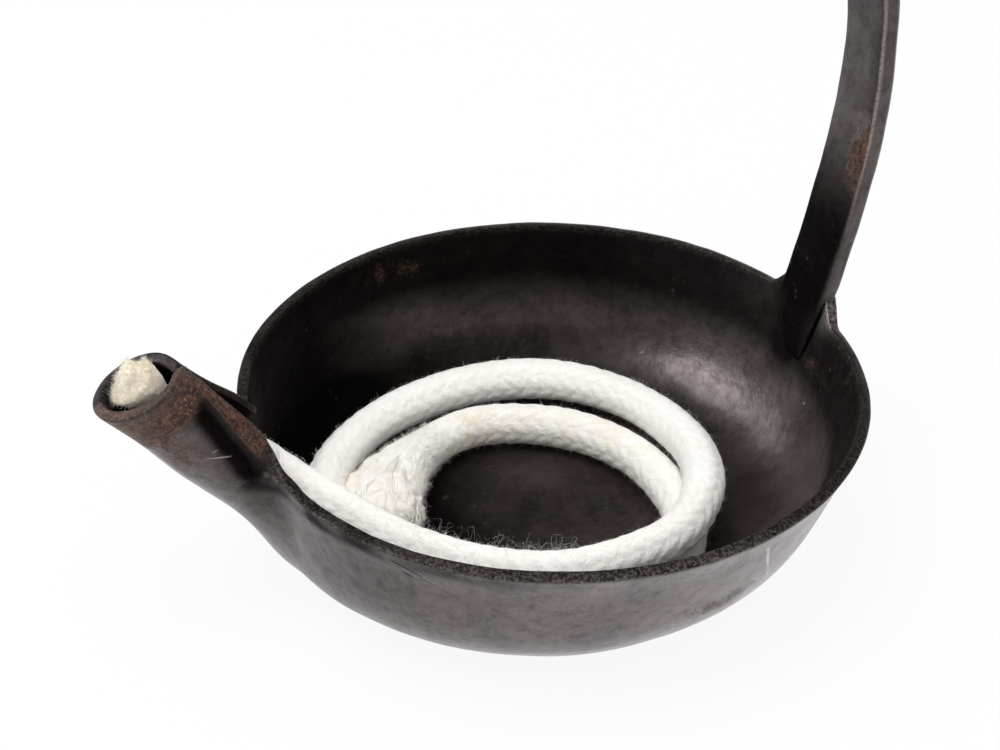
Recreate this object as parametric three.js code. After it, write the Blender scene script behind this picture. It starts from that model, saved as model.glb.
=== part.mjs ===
// Hand forged iron oil lamp: a raised bowl whose sheet is drawn out into a rolled spout,
// a flat bar handle that is welded to the rim and arches over to a hanging crook,
// and a thick cotton rope wick that lies coiled in the bowl and runs out through the spout.
// Millimetres, +Z up. The origin lies on the plane that the foot rests on, below the
// middle of the rim, and the spout points to -X.
import * as THREE from 'three';

const degree = Math.PI / 180;
const halfTurn = Math.PI;
const fullTurn = 2 * Math.PI;
const gap = 0.3;

// Bowl, measured on the outside of the sheet
const rimRadius = 60;
const bowlHeight = 32;
const footRadius = 30;
const sheetThickness = 2.3;
const rimLean = 20 * degree;
const rimPull = 18;
const footPull = 29;
const footShiftX = -3.2;
const footShiftY = 4.4;
const outlineSteps = 240;
const rimLipShare = 0.12;

// Ear: the rim is drawn up and thinned behind the handle
const handleTurn = 11.5 * degree;
const earHeight = 5;
const earFlank = 2.4;
const earThinShare = 0.5;

// Spout, rolled from the sheet
const spoutRise = 45 * degree;
const spoutRadius = 8.25;
const spoutCrossing = 63;
const spoutReach = 24.3;
const mouthSlant = 2.9;
const spoutBelly = 1.1;
const bellyStart = 20;
const bellyFull = 3;
const lapStep = 0.5;
const filletWidth = 7;
const liftShare = 2.5;
const fanHeight = 8;
const fanHalfAngle = 26 * degree;
const fanSpreadShare = 0.35;
const mouthShare = 0.52;
// Each flap's free edge, from the mouth to the rim: distance along the spout as a share of
// its reach, and the angle round it from its underside as a share of half a turn
const nearEdgeShares = [
  [0.7, -0.945], [0.53, -0.917], [0.38, -0.889], [0.23, -0.861], [0.08, -0.828], [-0.03, -0.783], [-0.11, -0.722],
];
const farEdgeShares = [
  [0.62, 0.972], [0.37, 0.967], [0.18, 0.955], [0.06, 0.935], [0.005, 0.88], [-0.01, 0.82], [-0.04, 0.75], [-0.09, 0.667],
];
const nearSeamShare = -0.978;
const farSeamShare = 0.972;
const nearRimAngle = 12.5 * degree;
const farRimAngle = 16.5 * degree;
const rimEaseShare = 0.45;
const cornerShare = 0.2;
const edgeBand = 1.5;
const bandFromShare = 0.8;

// Counts of the bowl's net
const fanColumns = 30;
const farRimColumns = 20;
const earColumns = 8;
const nearRimColumns = 23;
const footRings = 2;
const wallRings = 5;
const fanRings = 11;
const bandRings = 1;
const settleSteps = 5;
const relaxSteps = 30;
const asideShare = 0.2;
const smoothSteps = 3;
const probeShare = 0.01;

// Handle, a flat bar
const barWidth = 12.5;
const barThickness = 4;
const barBevelShare = 0.2;
const barLean = 15.5 * degree;
const barFootInset = 0.2;
const leanPull = 20;
const uprightPull = 18;
const archRadius = 104;
const archBase = 57;
const archOverhang = 9;
const archTurn = 64.5 * degree;
const crookRadius = 14;
const crookTurn = 150 * degree;
const crookWidth = 6;
const crookThickness = 4.6;
const crookTipWidth = 4.4;
const crookTipThickness = 3;
const tongueDepth = 9.5;
const tongueSkew = 3;
const tongueThickness = 1.9;
const tongueTipWidth = 4;
const tongueTipThickness = 0.9;
const scarfThickness = 1.7;
const tongueRings = 5;
const leanRings = 9;
const archRings = 18;
const crookRings = 13;

// Wick, a cotton rope
const wickDiameter = 8;
const wickLift = 0.8;
const wickRecess = 0.3;
const wickParting = 1.2;
const wickSides = 6;
const heldSides = 12;
const wickStep = 7.2;
// The rope's middle from its frayed inner end: a turn on the floor, then a wider one that
// climbs over it at the right front and rises along the front wall to the spout
const wickRoute = [
  [-30.2, 0.4, 6.8], [-28.4, 7.5, 6.8], [-24.2, 15.6, 6.8], [-17.0, 22.7, 6.8], [-6.5, 26.4, 6.8], [4.5, 23.8, 6.8],
  [13.5, 17.6, 6.8], [19.8, 8.4, 6.8], [22.6, -2.5, 6.8], [22.4, -13.5, 6.8], [18.8, -23.6, 6.9], [11.0, -31.3, 7.1],
  [0.5, -35.2, 7.3], [-11.0, -35.2, 7.4], [-22.0, -31.5, 7.4], [-31.5, -24.0, 7.4], [-38.6, -14.0, 7.6], [-42.4, -2.5, 7.8],
  [-42.6, 9.0, 7.9], [-39.0, 19.0, 7.7], [-31.4, 28.0, 7.5], [-20.8, 34.8, 7.6], [-9.0, 38.2, 7.9], [2.0, 38.4, 8.3],
  [12.0, 34.8, 9.0], [20.5, 27.6, 9.6], [26.3, 16.8, 10.8], [28.9, 2.6, 12.3], [27.7, -8.4, 14.0], [24.2, -18.3, 15.5],
  [18.2, -26.8, 16.0], [10.4, -32.2, 16.2], [-1.0, -35.0, 16.2], [-11.4, -35.2, 16.4], [-21.6, -31.8, 16.9],
  [-30.4, -26.2, 17.8], [-37.8, -19.6, 19.0], [-44.6, -11.6, 20.8], [-50.8, -4.0, 22.8],
];

// Colours and finishes
const ironColour = 0x2a2625;
const wickColour = 0xe9e5da;

// The bowl's outline from the foot's edge up to the rim, as radius and height
const outline = new THREE.CubicBezierCurve(
  new THREE.Vector2(footRadius, 0),
  new THREE.Vector2(footRadius + footPull, 0),
  new THREE.Vector2(rimRadius - rimPull * Math.sin(rimLean), bowlHeight - rimPull * Math.cos(rimLean)),
  new THREE.Vector2(rimRadius, bowlHeight),
).getPoints(outlineSteps);

// Radius of the outline at a height, and how fast it grows; above the rim it leans on
function outlineAt(z) {
  if (z >= bowlHeight) return { radius: rimRadius + (z - bowlHeight) * Math.tan(rimLean), growth: Math.tan(rimLean) };
  const next = Math.max(outline.findIndex((point) => point.y > z), 1);
  const low = outline[next - 1];
  const high = outline[next];
  const growth = (high.x - low.x) / (high.y - low.y);
  return { radius: low.x + (z - low.y) * growth, growth };
}

// The foot sits a little off the middle of the rim, and the sections between follow
function depthShare(z) {
  return Math.min(Math.max(1 - z / bowlHeight, 0), 1);
}

function bowlPoint(turn, radius, z) {
  const share = depthShare(z);
  return new THREE.Vector3(
    footShiftX * share + radius * Math.cos(turn),
    footShiftY * share + radius * Math.sin(turn),
    z,
  );
}

const earHalfWidth = barWidth / 2 + earFlank;
const spoutAxis = new THREE.Vector3(-Math.cos(spoutRise), 0, Math.sin(spoutRise));
const spoutDown = new THREE.Vector3(-Math.sin(spoutRise), 0, -Math.cos(spoutRise));
const spoutSide = new THREE.Vector3(0, 1, 0);
const spoutRoot = new THREE.Vector3(-spoutCrossing, 0, bowlHeight);

// The spout's radius bellies out below towards the bowl, and its two flaps step past each other
function spoutRadiusAt(along, round) {
  const belly = 1 - THREE.MathUtils.smoothstep(along, bellyFull, bellyStart);
  return spoutRadius + spoutBelly * belly * (1 + Math.cos(round)) / 2 - lapStep * round / halfTurn;
}

function spoutPoint(along, round) {
  const radius = spoutRadiusAt(along, round);
  return spoutRoot.clone()
    .addScaledVector(spoutAxis, along)
    .addScaledVector(spoutDown, radius * Math.cos(round))
    .addScaledVector(spoutSide, radius * Math.sin(round));
}

// Distance from a solid bowl, which grows fast above the rim so that the spout's flaps
// stand free there
function bowlDistance(point) {
  const share = depthShare(point.z);
  const { radius, growth } = outlineAt(point.z);
  const reach = Math.hypot(point.x - footShiftX * share, point.y - footShiftY * share);
  return (reach - radius) / Math.hypot(1, growth) + liftShare * Math.max(point.z - bowlHeight, 0);
}

function spoutDistance(point) {
  const from = point.clone().sub(spoutRoot);
  const along = from.dot(spoutAxis);
  const round = Math.atan2(from.dot(spoutSide), from.dot(spoutDown));
  return Math.hypot(from.dot(spoutSide), from.dot(spoutDown)) - spoutRadiusAt(along, round);
}

// Distance from the outside of bowl and spout together, with a hollow blend between them
function sheetDistance(point) {
  const bowl = bowlDistance(point);
  const spout = spoutDistance(point);
  const overlap = Math.max(filletWidth - Math.abs(bowl - spout), 0) / filletWidth;
  return Math.min(bowl, spout) - overlap * overlap * filletWidth / 4;
}

// The way that distance grows
function sheetSlope(point) {
  const probe = sheetThickness * probeShare;
  return new THREE.Vector3(...['x', 'y', 'z'].map((axis) => {
    const ahead = point.clone();
    const behind = point.clone();
    ahead[axis] += probe;
    behind[axis] -= probe;
    return (sheetDistance(ahead) - sheetDistance(behind)) / (2 * probe);
  }));
}

// Move a point onto that surface
function settle(point) {
  for (let step = 0; step < settleSteps; step += 1) {
    const slope = sheetSlope(point);
    point.addScaledVector(slope, -sheetDistance(point) / slope.lengthSq());
  }
  return point;
}

function mouthPoint(round) {
  return spoutPoint(spoutReach + mouthSlant * Math.cos(round), round);
}

// A flap's edge: from the seam at the mouth along the spout, round onto the rim
function flapEdge(seamShare, edgeShares, rimAngle) {
  const side = Math.sign(seamShare);
  const rim = (angle) => bowlPoint(halfTurn - side * angle, rimRadius, bowlHeight);
  return new THREE.CatmullRomCurve3([
    mouthPoint(seamShare * halfTurn),
    ...edgeShares.map(([along, round]) => spoutPoint(along * spoutReach, round * halfTurn)),
    rim(rimAngle),
    rim(rimAngle + (fanHalfAngle - rimAngle) * rimEaseShare),
    rim(fanHalfAngle),
  ], false, 'centripetal');
}

const nearEdge = flapEdge(nearSeamShare, nearEdgeShares, nearRimAngle);
const farEdge = flapEdge(farSeamShare, farEdgeShares, farRimAngle);

// Where a column of the fan ends, and the way it runs there. across goes from -1 at the
// near end of the fan to 1 at its far end, and 0 is the spout's underside
function fanEnd(across) {
  const side = Math.sign(across);
  const seamShare = side < 0 ? nearSeamShare : farSeamShare;
  const past = (Math.abs(across) - mouthShare) / (1 - mouthShare);
  if (past <= 0) {
    const round = Math.abs(across) / mouthShare * seamShare * halfTurn;
    return { end: mouthPoint(round), heading: spoutAxis.clone() };
  }
  const edge = side < 0 ? nearEdge : farEdge;
  const end = edge.getPointAt(past);
  const below = end.clone().sub(new THREE.Vector3(0, 0, edgeBand / 2));
  const heading = sheetSlope(below).cross(edge.getTangentAt(past)).multiplyScalar(-side).normalize();
  const turned = THREE.MathUtils.smoothstep(past, 0, cornerShare);
  return { end, heading: spoutAxis.clone().lerp(heading, turned).normalize() };
}

// Rings that keep beside the free edge: none at the mouth
function bandRingsAt(across) {
  return Math.abs(across) > bandFromShare ? bandRings : 0;
}

// One column of the outside, as a point on each ring from the foot up to the free edge
function outsideColumn(turn, across) {
  const column = [];
  for (let ring = 1; ring <= footRings; ring += 1) {
    column.push(bowlPoint(turn, footRadius * ring / footRings, 0));
  }
  const fanFoot = outlineAt(fanHeight);
  const fanStep = outline.findIndex((point) => point.y > fanHeight);
  for (let ring = 1; ring < wallRings; ring += 1) {
    const place = outline[Math.round(fanStep * ring / wallRings)];
    column.push(bowlPoint(turn, place.x, place.y));
  }
  column.push(bowlPoint(turn, fanFoot.radius, fanHeight));
  const start = column[column.length - 1];
  if (across === null) {
    const away = Math.abs(turn - handleTurn) * rimRadius;
    const raised = earHeight * (1 - THREE.MathUtils.smoothstep(away, barWidth / 2 - earFlank / 2, earHalfWidth));
    for (let ring = 1; ring <= fanRings; ring += 1) {
      const z = fanHeight + (bowlHeight + raised - fanHeight) * ring / fanRings;
      column.push(bowlPoint(turn, outlineAt(z).radius, z));
    }
    return column;
  }
  const { end, heading } = fanEnd(across);
  const bandCount = bandRingsAt(across);
  const band = Array.from({ length: bandCount + 1 }, (_, step) => (
    settle(end.clone().addScaledVector(heading, (step - bandCount) * edgeBand))));
  const pull = start.distanceTo(band[0]) / 3;
  const rise = new THREE.Vector3(fanFoot.growth * Math.cos(turn), fanFoot.growth * Math.sin(turn), 1).normalize();
  const curve = new THREE.CubicBezierCurve3(
    start, start.clone().addScaledVector(rise, pull), band[0].clone().addScaledVector(heading, -pull), band[0],
  );
  const freeRings = fanRings - bandCount;
  for (let ring = 1; ring < freeRings; ring += 1) {
    column.push(settle(curve.getPoint(ring / freeRings)));
  }
  return [...column, ...band];
}

// A closed body through rings of equally many points, with a point at each end. Each cell
// between two rings is cut along its shorter diagonal
function bodyFromRings(rings, firstPoint, lastPoint) {
  const sides = rings[0].length;
  const points = [firstPoint, ...rings.flat(), lastPoint];
  const faces = [];
  for (let side = 0; side < sides; side += 1) {
    const next = (side + 1) % sides;
    faces.push([0, 1 + side, 1 + next]);
    for (let ring = 1; ring < rings.length; ring += 1) {
      const low = 1 + (ring - 1) * sides;
      const high = low + sides;
      const rising = points[low + side].distanceTo(points[high + next]);
      const falling = points[low + next].distanceTo(points[high + side]);
      if (rising < falling) faces.push([low + side, high + side, high + next], [low + side, high + next, low + next]);
      else faces.push([low + side, high + side, low + next], [low + next, high + side, high + next]);
    }
    const top = 1 + (rings.length - 1) * sides;
    faces.push([top + side, points.length - 1, top + next]);
  }
  const volume = faces.reduce((sum, [a, b, c]) => (
    sum + points[a].dot(points[b].clone().cross(points[c]))), 0);
  const geometry = new THREE.BufferGeometry();
  geometry.setAttribute('position', new THREE.Float32BufferAttribute(
    points.flatMap((point) => point.toArray()), 3));
  geometry.setIndex(faces.flatMap((face) => (volume < 0 ? face.reverse() : face)));
  geometry.computeVertexNormals();
  return geometry;
}

// Even out the fan's net: each inner point moves between its four neighbours, on the surface
function relaxFan(columns) {
  const first = footRings + wallRings;
  for (let step = 0; step < relaxSteps; step += 1) {
    for (let column = 1; column < fanColumns; column += 1) {
      const last = first + fanRings - 1 - bandRingsAt(2 * column / fanColumns - 1);
      for (let ring = first; ring < last; ring += 1) {
        const along = columns[column][ring - 1].clone().add(columns[column][ring + 1]).divideScalar(2);
        const aside = columns[column - 1][ring].clone().add(columns[column + 1][ring]).divideScalar(2);
        columns[column][ring].copy(along.lerp(aside, asideShare));
        settle(columns[column][ring]);
      }
    }
  }
}

// Bowl and spout: the outside net, and the inside one sheet thickness behind it
function makeBowl() {
  const columns = [];
  const thins = [];
  for (let column = 0; column <= fanColumns; column += 1) {
    const across = 2 * column / fanColumns - 1;
    const spread = fanSpreadShare + (1 - fanSpreadShare) * across * across;
    columns.push(outsideColumn(halfTurn - fanHalfAngle * spread * across, across));
    thins.push(0);
  }
  relaxFan(columns);
  const earTurn = earHalfWidth / rimRadius;
  const spans = [
    [halfTurn - fanHalfAngle, handleTurn + earTurn, farRimColumns],
    [handleTurn + earTurn, handleTurn - earTurn, earColumns],
    [handleTurn - earTurn, fanHalfAngle - halfTurn, nearRimColumns],
  ];
  const rimTurns = spans.flatMap(([from, to, count]) => (
    Array.from({ length: count }, (_, step) => from + (to - from) * (step + 1) / count)));
  rimTurns.slice(0, -1).forEach((turn) => {
    const column = outsideColumn(turn, null);
    columns.push(column);
    thins.push((column[column.length - 1].z - bowlHeight) / earHeight * earThinShare);
  });
  const ringCount = columns[0].length;
  const at = (column, ring) => columns[(column + columns.length) % columns.length][ring];
  const isFan = (column, ring) => column > 0 && column < fanColumns && ring >= footRings + wallRings;
  const inward = (column, ring) => {
    if (ring < footRings) return new THREE.Vector3(0, 0, 1);
    if (isFan(column, ring)) {
      const below = ring === ringCount - 1 ? edgeBand / 2 : 0;
      return sheetSlope(at(column, ring).clone().sub(new THREE.Vector3(0, 0, below))).normalize().negate();
    }
    const sideways = at(column + 1, ring).clone().sub(at(column - 1, ring));
    const upwards = at(column, Math.min(ring + 1, ringCount - 1)).clone().sub(at(column, ring - 1));
    return sideways.cross(upwards).normalize();
  };
  let inwards = columns.map((column, index) => column.map((_, ring) => inward(index, ring)));
  for (let step = 0; step < smoothSteps; step += 1) {
    inwards = inwards.map((normals, index) => normals.map((normal, ring) => {
      if (!isFan(index, ring)) return normal;
      return normal.clone()
        .add(inwards[index - 1][ring])
        .add(inwards[index + 1][ring])
        .add(normals[ring - 1])
        .add(normals[Math.min(ring + 1, ringCount - 1)])
        .normalize();
    }));
  }
  const outside = [];
  const inside = [];
  for (let ring = 0; ring < ringCount; ring += 1) {
    outside.push(columns.map((column) => column[ring]));
    inside.push(columns.map((column, index) => {
      const above = Math.max(ring - (ringCount - 1 - fanRings / 3), 0) / (fanRings / 3);
      const thickness = sheetThickness * (1 - thins[index] * above);
      return column[ring].clone().addScaledVector(inwards[index][ring], thickness);
    }));
  }
  const lip = columns.map((column, index) => {
    const last = ringCount - 1;
    const beyond = inwards[index][last].clone()
      .cross(at(index + 1, last).clone().sub(at(index - 1, last))).normalize();
    return column[last].clone().lerp(inside[last][index], 1 / 2)
      .addScaledVector(beyond, sheetThickness * rimLipShare);
  });
  const middle = bowlPoint(0, 0, 0);
  return bodyFromRings(
    [...outside, lip, ...inside.reverse()],
    middle,
    middle.clone().add(new THREE.Vector3(0, 0, sheetThickness)),
  );
}

// Reach of the bowl's inside from the middle of the rim, in the handle's plane
function insideReach(z) {
  const { radius, growth } = outlineAt(z);
  const share = depthShare(z);
  const shift = share * (footShiftX * Math.cos(handleTurn) + footShiftY * Math.sin(handleTurn));
  return radius + shift - sheetThickness * Math.hypot(1, growth);
}

// The bar's stations in the handle's plane: reach, height, lean from upright, thickness and
// width; the tongue's tip is set a little to one side
function handleStations() {
  const stations = [];
  for (let ring = 0; ring < tongueRings; ring += 1) {
    const share = ring / (tongueRings - 1);
    const z = bowlHeight - tongueDepth * (1 - share);
    const thickness = tongueTipThickness + (tongueThickness - tongueTipThickness) * share;
    const widthShare = Math.sin(share * halfTurn / 2);
    const width = tongueTipWidth + (barWidth - tongueTipWidth) * widthShare;
    const skew = tongueSkew * (1 - share) * (1 - share);
    stations.push({
      reach: insideReach(z) - gap - thickness / 2 - (width / 2 + skew) ** 2 / (2 * rimRadius),
      z,
      lean: Math.atan(outlineAt(z).growth),
      thickness,
      width,
      skew: -skew,
    });
  }
  const earTop = bowlHeight + earHeight + sheetThickness * rimLipShare + gap;
  const scarfZ = earTop + scarfThickness / 2 * Math.sin(rimLean);
  stations.push({
    reach: rimRadius + (scarfZ - bowlHeight) * Math.tan(rimLean) - gap - barWidth * barWidth / (8 * rimRadius)
      - (sheetThickness * (1 - earThinShare) + scarfThickness / 2) / Math.cos(rimLean),
    z: scarfZ,
    lean: rimLean,
    thickness: scarfThickness,
    width: barWidth,
  });
  const footReach = rimRadius + barFootInset;
  const footZ = scarfZ + gap + barThickness / 2 * Math.sin(barLean);
  const archTop = rimRadius + archOverhang;
  const lean = new THREE.CubicBezierCurve(
    new THREE.Vector2(footReach, footZ),
    new THREE.Vector2(footReach + leanPull * Math.sin(barLean), footZ + leanPull * Math.cos(barLean)),
    new THREE.Vector2(archTop, bowlHeight + archBase - uprightPull),
    new THREE.Vector2(archTop, bowlHeight + archBase),
  );
  for (let ring = 0; ring < leanRings; ring += 1) {
    const place = lean.getPoint(ring / leanRings);
    const way = lean.getTangent(ring / leanRings);
    stations.push({ reach: place.x, z: place.y, lean: Math.atan2(way.x, way.y), thickness: barThickness, width: barWidth });
  }
  const mix = (from, to, share) => from + (to - from) * share;
  for (let ring = 0; ring < archRings; ring += 1) {
    const share = ring / archRings;
    const turn = archTurn * share;
    stations.push({
      reach: archTop - archRadius * (1 - Math.cos(turn)),
      z: bowlHeight + archBase + archRadius * Math.sin(turn),
      lean: -turn,
      thickness: mix(barThickness, crookThickness, share * share),
      width: mix(barWidth, crookWidth, share * share),
    });
  }
  const bend = archRadius - crookRadius;
  for (let ring = 0; ring <= crookRings; ring += 1) {
    const share = ring / crookRings;
    const turn = archTurn + crookTurn * share;
    stations.push({
      reach: archTop - archRadius + bend * Math.cos(archTurn) + crookRadius * Math.cos(turn),
      z: bowlHeight + archBase + bend * Math.sin(archTurn) + crookRadius * Math.sin(turn),
      lean: -turn,
      thickness: mix(crookThickness, crookTipThickness, share),
      width: mix(crookWidth, crookTipWidth, share),
    });
  }
  return stations;
}

function makeHandle() {
  const outwards = new THREE.Vector3(Math.cos(handleTurn), Math.sin(handleTurn), 0);
  const sideways = new THREE.Vector3(-Math.sin(handleTurn), Math.cos(handleTurn), 0);
  const upright = new THREE.Vector3(0, 0, 1);
  const stations = handleStations();
  const rings = stations.map(({ reach, z, lean, thickness, width, skew = 0 }) => {
    const across = outwards.clone().multiplyScalar(Math.cos(lean)).addScaledVector(upright, -Math.sin(lean));
    const middle = outwards.clone().multiplyScalar(reach).addScaledVector(upright, z).addScaledVector(sideways, skew);
    const bevel = barBevelShare * Math.min(thickness, width);
    const halfThick = thickness / 2;
    const halfWide = width / 2;
    return [
      [halfThick, halfWide - bevel], [halfThick, bevel - halfWide], [halfThick - bevel, -halfWide],
      [bevel - halfThick, -halfWide], [-halfThick, bevel - halfWide], [-halfThick, halfWide - bevel],
      [bevel - halfThick, halfWide], [halfThick - bevel, halfWide],
    ].map(([out, side]) => middle.clone().addScaledVector(across, out).addScaledVector(sideways, side));
  });
  const middleOf = (ring) => ring.reduce((sum, point) => sum.add(point), new THREE.Vector3()).divideScalar(ring.length);
  return bodyFromRings(rings, middleOf(rings[0]), middleOf(rings[rings.length - 1]));
}

// The wick in the spout runs along the spout's middle, a little above it
function wickPoint(along) {
  return spoutRoot.clone().addScaledVector(spoutAxis, along).addScaledVector(spoutDown, -wickLift);
}

function ropeOn(path, steps, sides) {
  const section = new THREE.Shape(Array.from({ length: sides }, (_, side) => new THREE.Vector2(
    wickDiameter / 2 * Math.cos(fullTurn * side / sides),
    wickDiameter / 2 * Math.sin(fullTurn * side / sides),
  )));
  return new THREE.ExtrudeGeometry(section, { steps, bevelEnabled: false, extrudePath: path });
}

const coilEnd = -wickParting - gap;
const coilPath = new THREE.CatmullRomCurve3([
  ...wickRoute.map((place) => new THREE.Vector3(...place)),
  wickPoint(coilEnd - wickDiameter),
  wickPoint(coilEnd - wickDiameter / 2),
  wickPoint(coilEnd),
], false, 'catmullrom', 1 / 2);
const coilSteps = Math.round(coilPath.getLength() / wickStep);
const heldWick = new THREE.LineCurve3(wickPoint(-wickParting), wickPoint(spoutReach - wickRecess));

// The rope's least gap to itself, on points along its middle
function leastGap(path, steps) {
  const points = path.getSpacedPoints(steps);
  const apart = Math.ceil(3 * wickDiameter / (path.getLength() / steps));
  let least = Infinity;
  for (let first = 0; first < points.length; first += 1) {
    for (let second = first + apart; second < points.length; second += 1) {
      least = Math.min(least, points[first].distanceTo(points[second]));
    }
  }
  return least - wickDiameter;
}
console.log(`rope ${coilPath.getLength().toFixed(1)} and ${heldWick.getLength().toFixed(1)} mm, least gap to itself`
  + ` ${leastGap(coilPath, 4 * coilSteps).toFixed(2)} mm`);

const lamp = new THREE.Group();

function addPart(name, geometry, colour, roughness, metalness) {
  const mesh = new THREE.Mesh(geometry, new THREE.MeshStandardMaterial({ color: colour, roughness, metalness }));
  mesh.name = name;
  lamp.add(mesh);
}

addPart('bowl_with_spout', makeBowl(), ironColour, 0.5, 0.8);
addPart('arm_with_crook', makeHandle(), ironColour, 0.55, 0.8);
addPart('wick_coil', ropeOn(coilPath, coilSteps, wickSides), wickColour, 0.95, 0);
addPart('wick_in_spout', ropeOn(heldWick, 1, heldSides), wickColour, 0.95, 0);

export default lamp;
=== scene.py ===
# Forged iron oil lamp: raised bowl with a rolled spout, flat bar handle with a hanging crook,
# and a cotton rope wick. Lengths below are in millimetres, turned to metres when a mesh is made.
import math
import bpy
import numpy as np
from mathutils import Matrix, Vector


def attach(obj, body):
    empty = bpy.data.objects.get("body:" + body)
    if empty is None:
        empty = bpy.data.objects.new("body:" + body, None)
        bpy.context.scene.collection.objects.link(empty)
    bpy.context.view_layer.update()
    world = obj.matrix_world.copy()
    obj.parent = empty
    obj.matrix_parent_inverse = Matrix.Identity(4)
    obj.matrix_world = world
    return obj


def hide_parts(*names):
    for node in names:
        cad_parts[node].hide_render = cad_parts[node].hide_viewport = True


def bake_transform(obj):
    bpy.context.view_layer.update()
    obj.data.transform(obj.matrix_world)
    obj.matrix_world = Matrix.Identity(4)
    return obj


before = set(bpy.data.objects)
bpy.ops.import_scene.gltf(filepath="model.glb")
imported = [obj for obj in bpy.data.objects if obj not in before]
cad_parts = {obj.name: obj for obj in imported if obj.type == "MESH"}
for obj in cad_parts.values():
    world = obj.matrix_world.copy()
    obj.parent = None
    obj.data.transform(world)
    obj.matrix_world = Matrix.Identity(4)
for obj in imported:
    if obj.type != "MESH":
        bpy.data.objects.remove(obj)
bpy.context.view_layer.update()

mm = 0.001


def smoothStep(x, low, high):
    # 0 below low, 1 above high, and 3t^2 - 2t^3 between them
    t = np.clip((x - low) / (high - low), 0, 1)
    return t * t * (3 - 2 * t)


def unit(v):
    # Each vector over its own length
    return v / np.maximum(np.linalg.norm(v, axis=-1, keepdims=True), 1e-12)


def latticeNoise(points, size, seed):
    # Smooth noise from -1 to 1: random values on the corners of cubes of one size, blended
    # inside each cube by 3t^2 - 2t^3 along x, y and z
    q = np.asarray(points, float) / size + 91.7
    cell = np.floor(q).astype(np.int64)
    t = q - cell
    t = t * t * (3 - 2 * t)
    total = np.zeros(q.shape[:-1])
    for corner in np.ndindex(2, 2, 2):
        c = cell + np.array(corner)
        h = (c[..., 0] * 73856093) ^ (c[..., 1] * 19349663)
        h = h ^ (c[..., 2] * 83492791) ^ (seed * 2654435761)
        h = (h ^ (h >> 13)) * 1274126177 & 0xFFFFFFFF
        value = ((h ^ (h >> 16)) & 0xFFFF) / 32767.5 - 1
        weight = np.prod(np.where(np.array(corner) == 1, t, 1 - t), axis=-1)
        total += value * weight
    return total


def bumps(points, height, size, seed):
    # Height times the smooth noise
    return height * latticeNoise(points, size, seed)


def throughPoints(points, stretch=0.5, steps=24):
    # A curve through all points: between each two, the cubic that passes through the four
    # nearest, spaced by their distance to the power of stretch
    p = np.asarray(points, float)
    p = np.vstack([2 * p[0] - p[1], p, 2 * p[-1] - p[-2]])
    gaps = np.maximum(np.linalg.norm(np.diff(p, axis=0), axis=1), 1e-9) ** stretch
    d0, d1, d2 = gaps[:-2, None, None], gaps[1:-1, None, None], gaps[2:, None, None]
    a, b, c, d = (p[i:len(p) - 3 + i, None, :] for i in range(4))
    slopeB = ((b - a) / d0 - (c - a) / (d0 + d1) + (c - b) / d1) * d1
    slopeC = ((c - b) / d1 - (d - b) / (d1 + d2) + (d - c) / d2) * d1
    t = (np.arange(steps) / steps)[None, :, None]
    out = (b * (2 * t**3 - 3 * t**2 + 1) + slopeB * (t**3 - 2 * t**2 + t)
           + c * (-2 * t**3 + 3 * t**2) + slopeC * (t**3 - t**2))
    return np.vstack([out.reshape(-1, p.shape[1]), p[-2]])


def alongLine(line, places):
    # Points at the given lengths along a fine polyline, straight between its points
    runs = np.concatenate([[0], np.cumsum(np.linalg.norm(np.diff(line, axis=0), axis=1))])
    return np.stack([np.interp(places, runs, line[:, k]) for k in range(line.shape[1])], -1)


def lineLength(line):
    # Sum of the distances between neighbours
    return float(np.linalg.norm(np.diff(line, axis=0), axis=1).sum())


def refine(grid, factor, axis):
    # More rows or columns: between each two, the cubic through the four nearest, evenly spaced
    g = np.moveaxis(grid, axis, 0)
    p = np.concatenate([2 * g[:1] - g[1:2], g, 2 * g[-1:] - g[-2:-1]])
    t = (np.arange(factor) / factor).reshape(1, factor, *([1] * (g.ndim - 1)))
    a, b, c, d = (p[i:len(p) - 3 + i, None] for i in range(4))
    out = 0.5 * (2 * b + (c - a) * t + (2 * a - 5 * b + 4 * c - d) * t**2
                 + (3 * b - a - 3 * c + d) * t**3)
    out = np.concatenate([out.reshape(-1, *g.shape[1:]), g[-1:]])
    return np.moveaxis(out, 0, axis)


def closedRings(rings, first, last, flip=False):
    # Points and faces of rings of points, [ring, side], joined row by row in quads and closed
    # at each end by triangles to one more point; flip turns every face over
    rows, count = rings.shape[:2]
    points = np.concatenate([first.reshape(1, 3), rings.reshape(-1, 3), last.reshape(1, 3)])
    side = np.arange(count)
    beside = (side + 1) % count
    row = 1 + np.arange(rows - 1)[:, None] * count
    quads = np.stack([row + side, row + beside, row + count + beside, row + count + side], -1)
    near = np.stack([0 * side, 1 + beside, 1 + side], -1)
    lastRow = 1 + (rows - 1) * count
    far = np.stack([0 * side + rows * count + 1, lastRow + side, lastRow + beside], -1)
    faces = [quads.reshape(-1, 4), near, far]
    return points, [f[:, ::-1] for f in faces] if flip else faces


def perPoint(values):
    # Numbers [ring, side] as one row for closedRings; each end point takes its ring's mean
    return np.concatenate([[values[0].mean()], values.reshape(-1), [values[-1].mean()]])


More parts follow.
